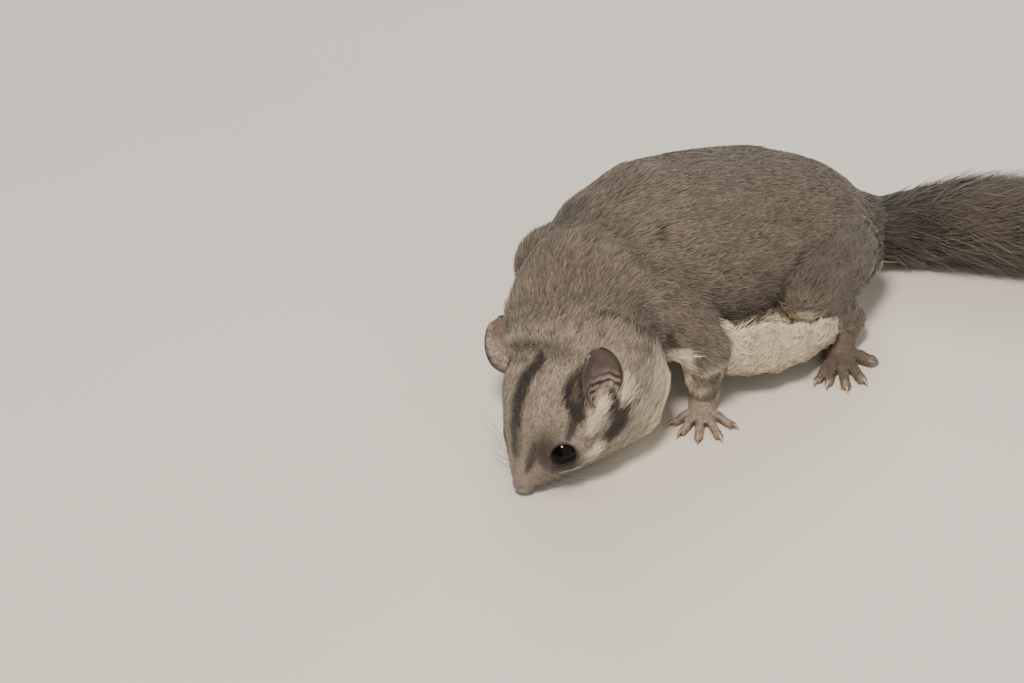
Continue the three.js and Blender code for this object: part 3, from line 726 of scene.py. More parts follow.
def new_piece(name, points, faces, material, fields=None, body="root"):
    """A smooth mesh object from points in millimetres and lists of equal-sized faces."""
    mesh = bpy.data.meshes.new(name)
    points = np.asarray(points, float) * METRES
    groups = [np.asarray(group, np.int32) for group in faces if len(group)]
    corners = np.concatenate([group.ravel() for group in groups])
    sizes = np.concatenate([np.full(len(group), group.shape[1]) for group in groups])
    starts = np.concatenate([[0], np.cumsum(sizes)[:-1]]).astype(np.int32)
    mesh.vertices.add(len(points))
    mesh.vertices.foreach_set("co", points.astype(np.float32).ravel())
    mesh.loops.add(len(corners))
    mesh.loops.foreach_set("vertex_index", corners.astype(np.int32))
    mesh.polygons.add(len(starts))
    mesh.polygons.foreach_set("loop_start", starts)
    mesh.update(calc_edges=True)
    mesh.validate()
    mesh.polygons.foreach_set("use_smooth", np.ones(len(mesh.polygons), bool))
    store(mesh, fields or {})
    mesh.materials.append(material)
    piece = bpy.data.objects.new(name, mesh)
    bpy.context.scene.collection.objects.link(piece)
    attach(piece, body)
    return piece


def field_of(piece, name, width=1):
    """A field stored on a piece, as an array."""
    mesh = piece.data
    values = np.empty(len(mesh.vertices) * width, np.float32)
    mesh.attributes[name].data.foreach_get("value" if width == 1 else "vector", values)
    return values if width == 1 else values.reshape(-1, width)


def waves(points, length, seed, count=9):
    """A smooth seeded noise between about -1 and 1 whose waves are about length millimetres long."""
    draw = np.random.default_rng(seed)
    total = np.zeros(len(points))
    for _ in range(count):
        direction = unit(draw.normal(size=3)) * 2 * math.pi / (length * draw.uniform(0.7, 1.5))
        total += np.sin(points @ direction + draw.uniform(0, 2 * math.pi))
    return total / math.sqrt(count)


# Islands of the unwrap: part of the body, then low u, low v, high u, high v
ISLANDS = {
    "torso": (0.0, 0.5, 0.42, 1.0),
    "neck": (0.42, 0.72, 0.66, 1.0),
    "head": (0.42, 0.3, 0.8, 0.72),
    "tail": (0.0, 0.0, 0.42, 0.5),
    "upper_arm": (0.66, 0.72, 0.8, 1.0),
    "forearm": (0.8, 0.72, 1.0, 1.0),
    "thigh": (0.42, 0.0, 0.62, 0.3),
    "shin": (0.62, 0.0, 0.8, 0.3),
    "palm": (0.8, 0.3, 1.0, 0.42),
    "sole": (0.8, 0.42, 1.0, 0.58),
    "finger": (0.8, 0.0, 1.0, 0.15),
    "toe": (0.8, 0.15, 1.0, 0.3),
    "membrane": (0.8, 0.58, 1.0, 0.72),
}


TUBE_CLAIM, MEMBRANE_CLAIM = 30, 4  # how far from a part its coat may be decided by it


def nearest_section(points, tube):
    """The nearest section of a tube to each point, and how far away it is in half widths."""
    index = np.zeros(len(points), int)
    reach = np.zeros(len(points))
    for start in range(0, len(points), 20000):
        rows = slice(start, start + 20000)
        gap = np.linalg.norm(points[rows, None] - tube.centres[None], axis=2) / tube.sizes.mean(1)[None]
        index[rows] = gap.argmin(1)
        reach[rows] = gap.min(1)
    return index, reach


def claims_of_tube(points, tube):
    """For points near a tube: their indices, reach, share along, turn about it and the lie of the coat."""
    low, high = tube.centres.min(0) - TUBE_CLAIM, tube.centres.max(0) + TUBE_CLAIM
    near = np.flatnonzero(((points > low) & (points < high)).all(1))
    index, reach = nearest_section(points[near], tube)
    offset = points[near] - tube.centres[index]
    turn = np.arctan2((offset * tube.dorsal[index]).sum(1), (offset * tube.left[index]).sum(1))
    against = tube.name in ("torso", "neck", "head")
    return near, reach, tube.shares[index], turn, tube.ahead[index] * (-1 if against else 1)


def claims_of_membrane(points, side):
    """The same for a membrane, whose turn runs from its root at -pi to its ruffled edge at pi."""
    u, v = np.meshgrid(np.linspace(0, 1, 41), np.linspace(0, 1, 17), indexing="ij")
    middle = membrane_middle(side, u, v)
    outward = unit(np.gradient(middle, axis=1)) + 0.8 * way(0, -1, 0)
    middle, outward, u, v = middle.reshape(-1, 3), outward.reshape(-1, 3), u.ravel(), v.ravel()
    low, high = middle.min(0) - MEMBRANE_CLAIM, middle.max(0) + MEMBRANE_CLAIM
    near = np.flatnonzero(((points > low) & (points < high)).all(1))
    index = np.zeros(len(near), int)
    gap = np.zeros(len(near))
    for start in range(0, len(near), 8000):
        rows = slice(start, start + 8000)
        apart = np.linalg.norm(points[near[rows], None] - middle[None], axis=2)
        index[rows], gap[rows] = apart.argmin(1), apart.min(1)
    return near, gap / 0.9, u[index], (v[index] - 0.5) * 2 * math.pi, outward[index]


def lie_and_unwrap(points, tubes):
    """For each point of the skin: the way its coat lies, its place on the unwrap and its nearest part."""
    count = len(points)
    best = np.full(count, np.inf)
    claims = [claims_of_tube(points, tube) for tube in tubes]
    claims += [claims_of_membrane(points, side) for side in SIDES]
    for near, reach, *_ in claims:
        best[near] = np.minimum(best[near], reach)
    flow, weight = np.zeros((count, 3)), np.zeros(count)
    part, along, around = np.zeros(count), np.zeros(count), np.zeros(count)
    for number, (near, reach, share, turn, direction) in enumerate(claims):
        pull = np.exp(-9 * (reach - best[near]))
        flow[near] += direction * pull[:, None]
        weight[near] += pull
        mine = reach <= best[near] + 1e-9
        part[near[mine]] = number
        along[near[mine]] = share[mine]
        around[near[mine]] = turn[mine]
    flow = flow / np.maximum(weight, 1e-9)[:, None]
    unwrap = np.zeros((count, 3))
    for number, name in enumerate(part_names(tubes)):
        digit = name.startswith(("finger", "toe"))
        low_u, low_v, high_u, high_v = ISLANDS[name.split("_")[0] if digit else name]
        mine = part == number
        unwrap[mine, 0] = mix(low_u + 0.01, high_u - 0.01, along[mine])
        unwrap[mine, 1] = mix(low_v + 0.01, high_v - 0.01, around[mine] / (2 * math.pi) + 0.5)
    return flow, unwrap, part, along, around


def part_names(tubes):
    return [tube.name for tube in tubes] + ["membrane", "membrane"]


def spread(points, centre, radius, soft=0.5):
    """1 near a centre, falling to 0 at the radius."""
    gap = np.linalg.norm(points - centre, axis=1) / radius
    return 1 - smooth(1 - soft, 1, gap)


def stroke(points, line, width, soft=0.5, steps=40):
    """1 on a smooth line through points, falling to 0 at its half width, which may change along it."""
    shares = np.linspace(0, 1, steps)
    path = curve(line, shares)
    widths = np.interp(shares, np.linspace(0, 1, np.size(width)), np.atleast_1d(width))
    low, high = path.min(0) - widths.max(), path.max(0) + widths.max()
    near = np.flatnonzero(((points > low) & (points < high)).all(1))
    mask = np.zeros(len(points))
    if len(near):
        apart = np.linalg.norm(points[near, None] - path[None], axis=2)
        gap = (apart / np.maximum(widths, 0.05)[None]).min(1)
        mask[near] = 1 - smooth(1 - soft, 1, gap)
    return mask


def keys_on_skin(points, keys):
    """The points of the skin nearest to the keys of a line."""
    return [points[np.linalg.norm(points - key, axis=1).argmin()] for key in keys]


# Marks on the head, as (behind, side, crown), mirrored for the right
FOREHEAD_STRIPE = [(29.5, 0.6, 9.6), (27, 0.6, 10.4), (22, 0, 11.2), (16, 0, 10), (11, 0, 8), (6.5, 0, 5.6)]
FOREHEAD_STRIPE_WIDTH = (0.9, 2.5, 3.5, 3.7, 3.0, 1.6)
EYE_RING = (11.0, 8.6, 1.6)
EYE_TO_NOSE = [(9.5, 6.8, 4.8), (6.2, 4.9, 3.6), (3.4, 3.2, 2.6)]
EYE_TO_EAR = [(14.6, 13.4, 2.8), (17.9, 14.8, 4.0), (20.6, 15.6, 4.6)]
BEFORE_EAR = [(29, 14.6, 7.6), (25.5, 14.4, 8.1), (21.6, 15, 6.6), (18.4, 15.6, 4)]
BELOW_EAR = [(26, 19, -0.6), (24, 18.8, -3.2), (20.4, 17.4, -5.4), (16.8, 15.4, -4.8)]
UNDER_EAR_TUFT = [(17.4, 15.8, 0.2), (20, 17, 1.0), (23, 18, 1.2)]
BEHIND_EAR_TUFT = [(28.6, 19, -0.6), (27.2, 19.3, -2.0), (25.8, 19.2, -3.4)]
CHEEK_PATCH = [(5.5, 8.2, -3.6), (8.4, 10, -4.2), (11.8, 12.6, -4.4), (15, 14.6, -4.6)]

# Marks on the body, and creases that get painted shade, as (left, forward, up), mirrored for the right
BACK_STRIPE = [
    (1.4, 31.8, 40.2), (0, 22, 47), (-2, 12, 51), (-2.5, 0, 54), (-1, -18, 52), (0, -38, 45), (0, -56, 30)
]
BACK_STRIPE_WIDTH = (1.6, 2.2, 2.4, 2.4, 2.2, 1.8, 1.0)
NECK_CREASE = [(19, 29, 40), (22.4, 25, 35), (24.7, 20.6, 29.6), (25, 15, 26)]
PALE_EDGE = [(27, -3, 26), (29, -5, 21), (28, -10, 18), (27, -17, 16), (26.5, -26, 14)]
CHEST_PATCH = [(23.5, 9.5, 25), (23, 7.6, 18), (21.5, 5.8, 11)]
FLANK_CREASE = [(14, -9, 47), (18.5, -11, 40), (20.8, -13, 35), (22.2, -18, 31)]
FLANK_WIDTH = (0.8, 1.4, 1.6, 1.0)
HAUNCH_CREASE = [(17.5, -30, 37.5), (23.5, -27.5, 30), (26, -29.5, 22), (28.5, -37, 16)]
HAUNCH_WIDTH = (1.2, 2.0, 2.2, 1.4)
# Painted shade in the coat's creases and folds (behind the arm, on flank and haunch, over the membrane),
# and a dark band down the forearm: strength, half widths along it, softness and places
CREASE_SHADE_AND_DARK_BANDS = (
    (0.95, 1.9, 0.6, [(24.5, 13, 31), (24.5, 11, 27), (24.5, 9, 22)]),  # behind the arm
    (0.75, FLANK_WIDTH, 0.8, FLANK_CREASE),
    (0.85, HAUNCH_WIDTH, 0.8, HAUNCH_CREASE),
    (0.75, 1.1, 0.8, [(24, -13, 29), (25.5, -17, 23.5)]),  # folds over the membrane
    (0.75, 1.1, 0.8, [(23.5, -20, 29), (25, -24.5, 24)]),
    (0.6, 3.0, 0.7, [(30, 3, 26), (29.5, 1.5, 17), (26.5, 0.5, 9)]),  # down the forearm
)


def marks_of(points, normals, names, part, along, around):
    """The fields of colour, painted crease shade and bareness that skin and coat share."""
    places = head_places(points)
    behind, _, crown = places.T
    name = np.array(names)[part.astype(int)].astype(str)
    below = -np.sin(around)
    finger, toe = np.char.startswith(name, "finger"), np.char.startswith(name, "toe")
    dark, cream, tan = np.zeros(len(points)), np.zeros(len(points)), np.zeros(len(points))

    def paint(field, amount, mask):
        field[:] = np.maximum(field, amount * mask)

    ragged = 0.14 * waves(points, 6, 21) + 0.08 * waves(points, 2, 22)
    trunk = np.isin(name, ["torso", "neck"])
    limb = np.isin(name, ["upper_arm", "forearm", "thigh", "shin"])
    paint(cream, 0.95, np.where(trunk, smooth(0.45, 0.8, below + ragged), 0))
    paint(cream, 0.35, np.where(name == "head", smooth(-5.5, -12, crown + 4 * ragged), 0))
    paint(cream, 0.95, np.where(name == "head", smooth(-13, -18, crown + 4 * ragged), 0))
    paint(cream, 0.8, np.where(limb, smooth(0.1, 0.7, -normals[:, 2] + ragged), 0))
    turned_up = smooth(-1.6, -0.6, around + ragged)
    paint(cream, 0.97, np.where(name == "membrane", turned_up, 0))
    paint(dark, 0.3, np.where(name == "membrane", (1 - turned_up) * smooth(-2.8, -1.8, around), 0))
    for s in SIDES:
        mirror = np.array((1, s, 1))

        def line(keys, widths, soft=0.5, mirror=mirror):
            return stroke(places, np.array(keys) * mirror, widths, soft)

        paint(dark, 0.9, spread(places, np.array(EYE_RING) * mirror, 7.4, 0.62))
        paint(dark, 0.95, spread(places, np.array(EYE_PLACE) * mirror, 6.2, 0.3))
        paint(dark, 0.85, line(EYE_TO_NOSE, (2.4, 1.7, 0.8)))
        paint(dark, 0.85, line(EYE_TO_EAR, (1.1, 1.3, 1.8)))
        paint(dark, 0.97, line(BEFORE_EAR, (2.2, 3.5, 3.3, 2.0), 0.35))
        paint(tan, 0.8, line(BEFORE_EAR[1:3], (1.2, 1.0)))
        dark[:] = dark * (1 - 0.35 * line(BEFORE_EAR[1:3], (1.3, 1.1)))
        paint(dark, 0.97, line(BELOW_EAR, (2.8, 3.7, 3.2, 1.9), 0.4))
        for keys, widths in ((UNDER_EAR_TUFT, (1.4, 2.0, 1.7)), (BEHIND_EAR_TUFT, (1.9, 2.5, 2.0))):
            paint(cream, 0.85, line(keys, widths, 0.4))
            dark[:] = dark * (1 - line(keys, widths, 0.4))
        patch = line(CHEEK_PATCH, (1.6, 2.4, 2.6, 2.0), 0.5)
        paint(cream, 0.9, patch)
        dark[:] = dark * (1 - 0.7 * patch)
        rim = spread(places, np.array(EYE_PLACE) * mirror, 5.8, 0.3)
        cream[:] = cream * (1 - rim)
        paint(dark, 0.95, rim)

        def on_body(keys, widths, soft, s=s):
            own = [at(key[0] * s, *key[1:]) for key in keys]
            return stroke(points, keys_on_skin(points, own), widths, soft)

        # Painted shade in the valley between head and neck, on the left only, with some dark underfur
        # showing there
        if s > 0:
            paint(dark, 0.95, on_body(NECK_CREASE, (1.0, 2.1, 2.5, 2.4), 0.8))
        # Painted shade in the coat's creases and folds, and a dark band down the forearm
        for strength, widths, soft, keys in CREASE_SHADE_AND_DARK_BANDS:
            paint(dark, strength, on_body(keys, widths, soft))
        chest = on_body(CHEST_PATCH, (3.2, 3.6, 2.8), 0.5)
        paint(cream, 1.0, chest)
        dark[:] = dark * (1 - chest)
        paint(cream, 0.97, on_body(PALE_EDGE, (2.6, 3.6, 4.5, 5.0, 4.5), 0.35))
        paint(tan, 0.35, spread(points, at(25 * s, 7.7, 31), 9, 0.9))
        paint(tan, 0.3, spread(points, at(24 * s, -20, 26), 14, 0.9))
    paint(dark, 0.97, stroke(places, FOREHEAD_STRIPE, FOREHEAD_STRIPE_WIDTH, 0.5))
    back = stroke(points, [at(*key) for key in BACK_STRIPE], BACK_STRIPE_WIDTH, 0.85)
    paint(dark, 0.6, back * (0.8 + 0.8 * ragged))
    smudges = spread(points, at(5, 7, 51), 7.5, 0.8) + spread(points, at(4, -39, 44), 7, 0.8)
    paint(dark, 0.3, smudges)
    paint(dark, 0.6, smooth(24, 48, behind) * (1 - smooth(0, 0.5, cream)))
    # The thigh's upper side painted darker: painted shade on the haunch
    paint(dark, 0.72, np.where(name == "thigh", smooth(0.0, 0.7, normals[:, 2]), 0))
    paint(dark, 0.45, np.where(name == "tail", smooth(0.5, 1.0, along), 0))
    bare = np.where(finger, 0.85, 0.0)
    sole_and_tip = np.maximum(smooth(0.1, 0.6, -normals[:, 2]), smooth(0.7, 0.95, along))
    paint(bare, 0.9, np.where(toe, sole_and_tip, 0))
    paint(bare, 1.0, np.where(np.isin(name, ["palm", "sole"]), smooth(0.0, 0.5, -normals[:, 2]), 0))
    paint(bare, 0.6, np.where(name == "palm", smooth(0.6, 1.0, along), 0))
    paint(bare, 1.0, spread(places, np.array((-0.6, 0, 0.4)), 2.7, 0.3))
    paint(tan, 0.6, np.where(toe | (name == "sole"), 1.0, 0))
    cream[:] = cream * (1 - smooth(0.3, 0.9, bare))
    return {"cream": cream, "dark": np.clip(dark, 0, 1), "tan": tan, "bare": bare}


def size_property(name, description, millimetres):
    description = f"{description}, in millimetres"
    return FloatProperty(name=name, description=description, default=millimetres, min=0.1)


class GliderSizes(bpy.types.PropertyGroup):
    """Sizes that a user may change."""

    voxel: size_property("Skin detail", "Width of the cells that the skin is drawn from", 0.5)
    body_coat: size_property("Body coat", "Length of the body's hair", 4.4)
    tail_coat: size_property("Tail coat", "Length of the tail's hair", 17.0)
    whisker: size_property("Whiskers", "Length of the longest whisker", 26.0)


def colour_property(name, description, hex_value):
    return FloatVectorProperty(
        name=name, description=description, subtype="COLOR", size=4, min=0, max=1, default=linear(hex_value)
    )


class GliderColours(bpy.types.PropertyGroup):
    """Colours that a user may change. Those of fur are of its tips."""

    grey_fur: colour_property("Grey fur", "Tips of the hair on back, head and limbs", 0xCCBDAB)
    tan_fur: colour_property("Tan fur", "Tips of the warm hair on shoulders, flanks and feet", 0xBBA68B)
    cream_fur: colour_property("Cream fur", "Tips of the hair on belly, throat and membrane", 0xFFF4DA)
    # Dark fur also colours the painted shade in the coat's creases and folds and along the mouth
    dark_fur: colour_property("Dark fur", "Tips of the hair in the dark marks", 0x362E2A)
    tail_fur: colour_property("Tail fur", "Tips of the tail's long hair", 0xA2978B)
    bare_skin: colour_property("Bare skin", "Fingers, toes and soles", 0x8A7A71)
    nose_skin: colour_property("Nose", "Moist skin of the nose", 0x746562)
    ear_skin: colour_property("Ear skin", "Inner side of the ears", 0x8C7973)
    floor: colour_property("Floor", "Matt floor under the animal", 0xDAD7D1)


# How softly each part joins the ones before it, in millimetres
BLENDS = {"torso": 4.0, "neck": 5.0, "head": 6.5, "tail": 3.0, "palm": 1.2, "sole": 1.4}
LIMB_BLEND, DIGIT_BLEND = 3.0, 0.8
# Whisker pads and cheeks on the head: place, radii and blend
CHEEK_PADS = (((5.2, 2.1, -1.2), (3.4, 2.5, 2.6), 1.4), ((20, 10.5, -4.0), (7.0, 5.0, 5.5), 4.0))
EYE_BULGE = 0.15  # flesh over the eyeball
EYE_OPENING = (2.9, 4.0, 3.65)  # radii: along the eye's axis, towards the nose and upwards
FLESH_NODES = ["torso", "neck", "head", "tail_base", "tail_middle", "tail_end"] + [
    f"{name}_{word}"
    for word in ("left", "right")
    for name in ("upper_arm", "forearm", "thigh", "shin", "hand", "foot", "membrane")
]


class GLIDER_OT_skin(bpy.types.Operator):
    """One skin without a seam for head, body, limbs, membranes and tail"""

    bl_idname = "glider.skin"
    bl_label = "Skin"

    def execute(self, context):
        sizes = context.scene.glider_sizes
        tubes = body_tubes()
        flesh = Flesh(sizes.voxel)
        for tube in tubes:
            digit = tube.name.startswith(("finger", "toe"))
            blend = DIGIT_BLEND if digit else BLENDS.get(tube.name, LIMB_BLEND)
            flesh.add(tube.mesh(20 if digit else 40), blend)
        ways = (HEAD_AHEAD, HEAD_LEFT, HEAD_CROWN)
        for side in SIDES:
            flesh.add(membrane_mesh(side), 1.5)
            for (behind, out, crown), radii, blend in CHEEK_PADS:
                flesh.add(ball(on_head(behind, out * side, crown), radii, ways), blend)
        flesh.carve(Tube("mouth", [(point, 0.5) for point in mouth_line(tubes[2])], steps=40).mesh(10), 0.5)
        for side in SIDES:
            flesh.add(ball(eye_centre(side), (EYE_RADIUS + EYE_BULGE,) * 3), 2.2)
            axis, forward, upward = eye_ways(side)
            opening = eye_centre(side) + axis * (EYE_RADIUS + 0.6)
            flesh.carve(ball(opening, EYE_OPENING, (axis, forward, upward)), 0.4)
        points, triangles, quads = flesh.surface(0.012)
        points[:, 2] = np.maximum(points[:, 2], 0.02)
        piece = new_piece("skin", points, [triangles, quads], skin_material(context.scene.glider_colours))
        mesh = piece.data
        normals = vectors_of(mesh, "normal")
        points = vectors_of(mesh, "co") / METRES
        flow, unwrap, part, along, around = lie_and_unwrap(points, tubes)
        marks = marks_of(points, normals, part_names(tubes), part, along, around)
        # A dark line along the mouth: painted shade in its groove
        lips = stroke(points, mouth_line(tubes[2]), 0.9, 0.7, 80)
        marks["dark"] = np.maximum(marks["dark"], 0.85 * lips)
        store(mesh, {**marks, "flow": flow, "unwrap": unwrap, "part": part, "along": along})
        piece["parts"] = ",".join(part_names(tubes))
        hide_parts(*FLESH_NODES)
        return {"FINISHED"}


class Ground:
    """The finished skin as arrays, from which the coat grows."""

    def __init__(self):
        piece = bpy.data.objects["skin"]
        mesh = piece.data
        self.points = vectors_of(mesh, "co") / METRES
        self.normals = vectors_of(mesh, "normal")
        mesh.calc_loop_triangles()
        self.triangles = np.empty(len(mesh.loop_triangles) * 3, np.int32)
        mesh.loop_triangles.foreach_get("vertices", self.triangles)
        self.triangles = self.triangles.reshape(-1, 3)
        self.fields = {name: field_of(piece, name) for name in ("cream", "dark", "tan", "bare", "along")}
        self.flow = field_of(piece, "flow", 3)
        self.unwrap = field_of(piece, "unwrap", 3)
        a, b, c = (self.points[self.triangles[:, k]] for k in range(3))
        self.areas = np.linalg.norm(np.cross(b - a, c - a), axis=1) / 2
        self.part_names = np.array(piece["parts"].split(","))[field_of(piece, "part").astype(int)]

    def roots(self, density, seed):
        """Seeded roots spread by a density for each square millimetre, given for each point of the skin."""
        draw = np.random.default_rng(seed)
        expected = self.areas * density[self.triangles].mean(1)
        number = draw.poisson(expected)
        face = np.repeat(np.arange(len(number)), number)
        w = draw.dirichlet((1, 1, 1), len(face))
        corners = self.triangles[face]
        first = corners[:, 0]

        def blend(values):
            shares = w if values.ndim == 1 else w[..., None]
            return sum(values[corners[:, k]] * shares[:, k] for k in range(3))

        return {
            "points": blend(self.points),
            "normals": unit(blend(self.normals)),
            "flow": blend(self.flow),
            "unwrap": self.unwrap[first],
            "part": self.part_names[first],
            **{name: blend(values) for name, values in self.fields.items()},
        }


def part_the_lashes(roots):
    """Turns the coat away from the eyes and returns the share of its length that is left there."""
    left_over = np.ones(len(roots["points"]))
    for side in SIDES:
        offset = roots["points"] - eye_centre(side)
        axis = eye_axis(side)
        outward = offset - axis * (offset @ axis)[:, None]
        gap = np.linalg.norm(offset, axis=1)
        turn = np.arccos(np.clip((offset @ axis) / gap, -1, 1))
        close = (1 - smooth(EYE_RADIUS + 1.5, EYE_RADIUS + 5, gap)) * (1 - smooth(0.9, 1.8, turn))
        roots["flow"] = roots["flow"] * (1 - close[:, None]) + unit(outward) * close[:, None]
        left_over = np.minimum(left_over, 1 - 0.6 * close)
    return left_over


PATCH = 0.003  # width of one tuft's patch on the unwrap
LIMIT = 199000  # most triangles in one piece of coat
ROOT_SINK = 0.15  # how far a tuft's base lies in the skin


def tuft_rows(roots, length, width, lift, seed, bends, curl, droop, stray):
    """Points of one flat tapered tuft for each root, from its base to its tip, and the tufts' shades."""
    draw = np.random.default_rng(seed)
    count = len(roots["points"])
    normals = roots["normals"]
    flow = roots["flow"] - normals * (roots["flow"] * normals).sum(1, keepdims=True)
    lie = unit(flow)
    across = np.cross(normals, lie)
    clump = waves(roots["points"], 8, seed + 1) * 0.12 + waves(roots["points"], 2.0, seed + 2) * 0.12
    turn = clump + draw.normal(0, stray, count)
    lie = unit(lie * np.cos(turn)[:, None] + across * np.sin(turn)[:, None])
    across = unit(np.cross(normals, lie))
    length = length * draw.uniform(0.75, 1.2, count)
    width = width * draw.uniform(0.75, 1.25, count)
    lift = lift * draw.uniform(0.6, 1.5, count)
    bow = draw.normal(0, curl, count)
    roll = draw.normal(0, 0.35, count)
    tilted = unit(across * np.cos(roll)[:, None] + normals * np.sin(roll)[:, None])
    rows = []
    for level in np.linspace(0, 1, bends + 1):
        reach = (length * level)[:, None]
        rise = (length * lift * (level - droop * level**2))[:, None] - (ROOT_SINK if level == 0 else 0)
        sideways = across * (bow * length * level**2)[:, None]
        middle = roots["points"] + lie * reach + normals * rise + sideways
        belly = 0.75 + 0.5 * math.sin(math.pi * min(1, level * 1.3))
        wide = (width * (1 - level**1.6) * belly)[:, None] / 2
        rows.append((middle, wide))
    points = []
    for middle, wide in rows[:-1]:
        points += [middle - tilted * wide, middle + tilted * wide]
    points.append(rows[-1][0])
    points = np.stack(points, axis=1)
    points[..., 2] = np.maximum(points[..., 2], 0.05)
    shade = np.clip(0.5 + draw.normal(0, 0.2, count) + 0.12 * waves(roots["points"], 4, seed + 5), 0, 1)
    return points, shade


def grow(name, roots, length, width, lift, material, seed, bends=2, curl=0.1, droop=0.7, stray=0.14):
    """Grows a tuft from each root and joins them into pieces below the limit of triangles.

    length and width are in millimetres, lift is the rise of the tuft's start over its length.
    """
    points, shade = tuft_rows(roots, length, width, lift, seed, bends, curl, droop, stray)
    count, each = points.shape[:2]
    quad = np.array([[2 * k, 2 * k + 1, 2 * k + 3, 2 * k + 2] for k in range(bends - 1)])
    tip = np.array([[each - 3, each - 2, each - 1]])
    levels = np.linspace(0, 1, bends + 1)
    share = np.array([levels[k // 2] for k in range(each - 1)] + [1.0])
    triangles_each = 2 * (bends - 1) + 1
    pieces = math.ceil(count * triangles_each / LIMIT)
    order = np.argsort(roots["points"] @ np.array([0.3, 1.0, 0.2]), kind="stable")
    made = []
    for number, chosen in enumerate(np.array_split(order, max(1, pieces))):
        base = (np.arange(len(chosen)) * each)[:, None, None]
        quads = (quad[None] + base).reshape(-1, 4)
        tips = (tip[None] + base).reshape(-1, 3)
        fields = {"tip": np.tile(share, len(chosen)), "shade": np.repeat(shade[chosen], each)}
        for field in ("cream", "dark", "tan"):
            fields[field] = np.repeat(roots[field][chosen], each)
        label = name if pieces <= 1 else f"{name}_{number + 1}"
        piece = new_piece(label, points[chosen].reshape(-1, 3), [quads, tips], material, fields)
        mesh = piece.data
        corner = np.empty(len(mesh.loops), np.int32)
        mesh.loops.foreach_get("vertex_index", corner)
        tuft, inside = corner // each, corner % each
        edge = np.where(inside == each - 1, 0.5, inside % 2) * PATCH
        up = share[inside] * PATCH
        uv = roots["unwrap"][chosen][tuft][:, :2] + np.stack([edge, up], axis=1) - PATCH / 2
        layer = mesh.uv_layers.new(name="OFBake")
        layer.data.foreach_set("uv", uv.astype(np.float32).ravel())
        made.append(piece)
    return made


BARE_ABOUT_EYE = 0.49  # cosine of the angle about an eye's axis in which no hair grows


def away_from_eyes(points):
    """0 on an eye's opening and 1 clear of it."""
    clear = np.ones(len(points))
    for side in SIDES:
        centre = eye_centre(side)
        offset = unit(points - centre)
        near = np.linalg.norm(points - centre, axis=1) < EYE_RADIUS + 2.4
        clear[near & ((offset @ eye_axis(side)) > BARE_ABOUT_EYE)] = 0
    return clear


# Tufts on a square millimetre, and lengths in millimetres of those that are not driven by a property
UPPER_DENSITY, LOWER_DENSITY, HAND_DENSITY, TAIL_DENSITY = 12.5, 15.0, 20.0, 13.0
NOSE_DENSITY, CHEEK_DENSITY = 38.0, 17.0
UPPER_LIMB_HAIR, LOWER_LIMB_HAIR, MEMBRANE_HAIR, HAND_HAIR = 3.8, 2.6, 1.9, 1.3
NOSE_HAIR, CHEEK_HAIR = 0.9, 4.2


class GLIDER_OT_body_coat(bpy.types.Operator):
    """Short plush hair on back, flanks, belly, limbs and membranes"""

    bl_idname = "glider.body_coat"
    bl_label = "Body coat"

    def execute(self, context):
        sizes = context.scene.glider_sizes
        ground = Ground()
        name = ground.part_names
        bare = ground.fields["bare"]
        lower = np.isin(name, ["forearm", "shin"])
        upper = np.isin(name, ["torso", "neck", "upper_arm", "thigh", "membrane"])
        extremity = ~(upper | lower | np.isin(name, ["head", "tail"]))
        colours = context.scene.glider_colours
        hair = hair_material("plush_guard_hair", colours, colours.grey_fur, 0.6)
        density = np.where(upper, UPPER_DENSITY, 0) + np.where(lower, LOWER_DENSITY, 0)
        roots = ground.roots(density, 11)
        part = roots["part"]
        length = np.where(np.isin(part, ["torso", "neck"]), sizes.body_coat, UPPER_LIMB_HAIR)
        length = np.where(np.isin(part, ["forearm", "shin"]), LOWER_LIMB_HAIR, length)
        length = length * (1 + 0.35 * roots["cream"])
        length = np.where(part == "membrane", MEMBRANE_HAIR, length)
        for piece in grow("body_coat", roots, length, np.where(length > 3.2, 0.28, 0.24), 0.42, hair, 31):
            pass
        roots = ground.roots(np.where(extremity, HAND_DENSITY, 0) * (1 - np.clip(bare, 0, 1)), 12)
        for piece in grow("hand_and_foot_coat", roots, HAND_HAIR, 0.2, 0.22, hair, 32):
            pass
        return {"FINISHED"}


class GLIDER_OT_head_coat(bpy.types.Operator):
    """Fine hair on the head, shortest on the muzzle and round the eyes"""

    bl_idname = "glider.head_coat"
    bl_label = "Head coat"

    def execute(self, context):
        ground = Ground()
        on = ground.part_names == "head"
        behind = head_places(ground.points)[:, 0]
        density = np.where(on, mix(NOSE_DENSITY, CHEEK_DENSITY, smooth(4, 26, behind)), 0)
        density = density * (1 - ground.fields["bare"]) * away_from_eyes(ground.points)
        roots = ground.roots(density, 13)
        back = smooth(2, 34, head_places(roots["points"])[:, 0])
        length = mix(NOSE_HAIR, CHEEK_HAIR, back) * part_the_lashes(roots) * (1 + 0.3 * roots["cream"])
        colours = context.scene.glider_colours
        hair = hair_material("fine_face_hair", colours, colours.grey_fur, 0.6)
        for piece in grow("head_coat", roots, length, mix(0.12, 0.26, back), 0.4, hair, 33):
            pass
        return {"FINISHED"}


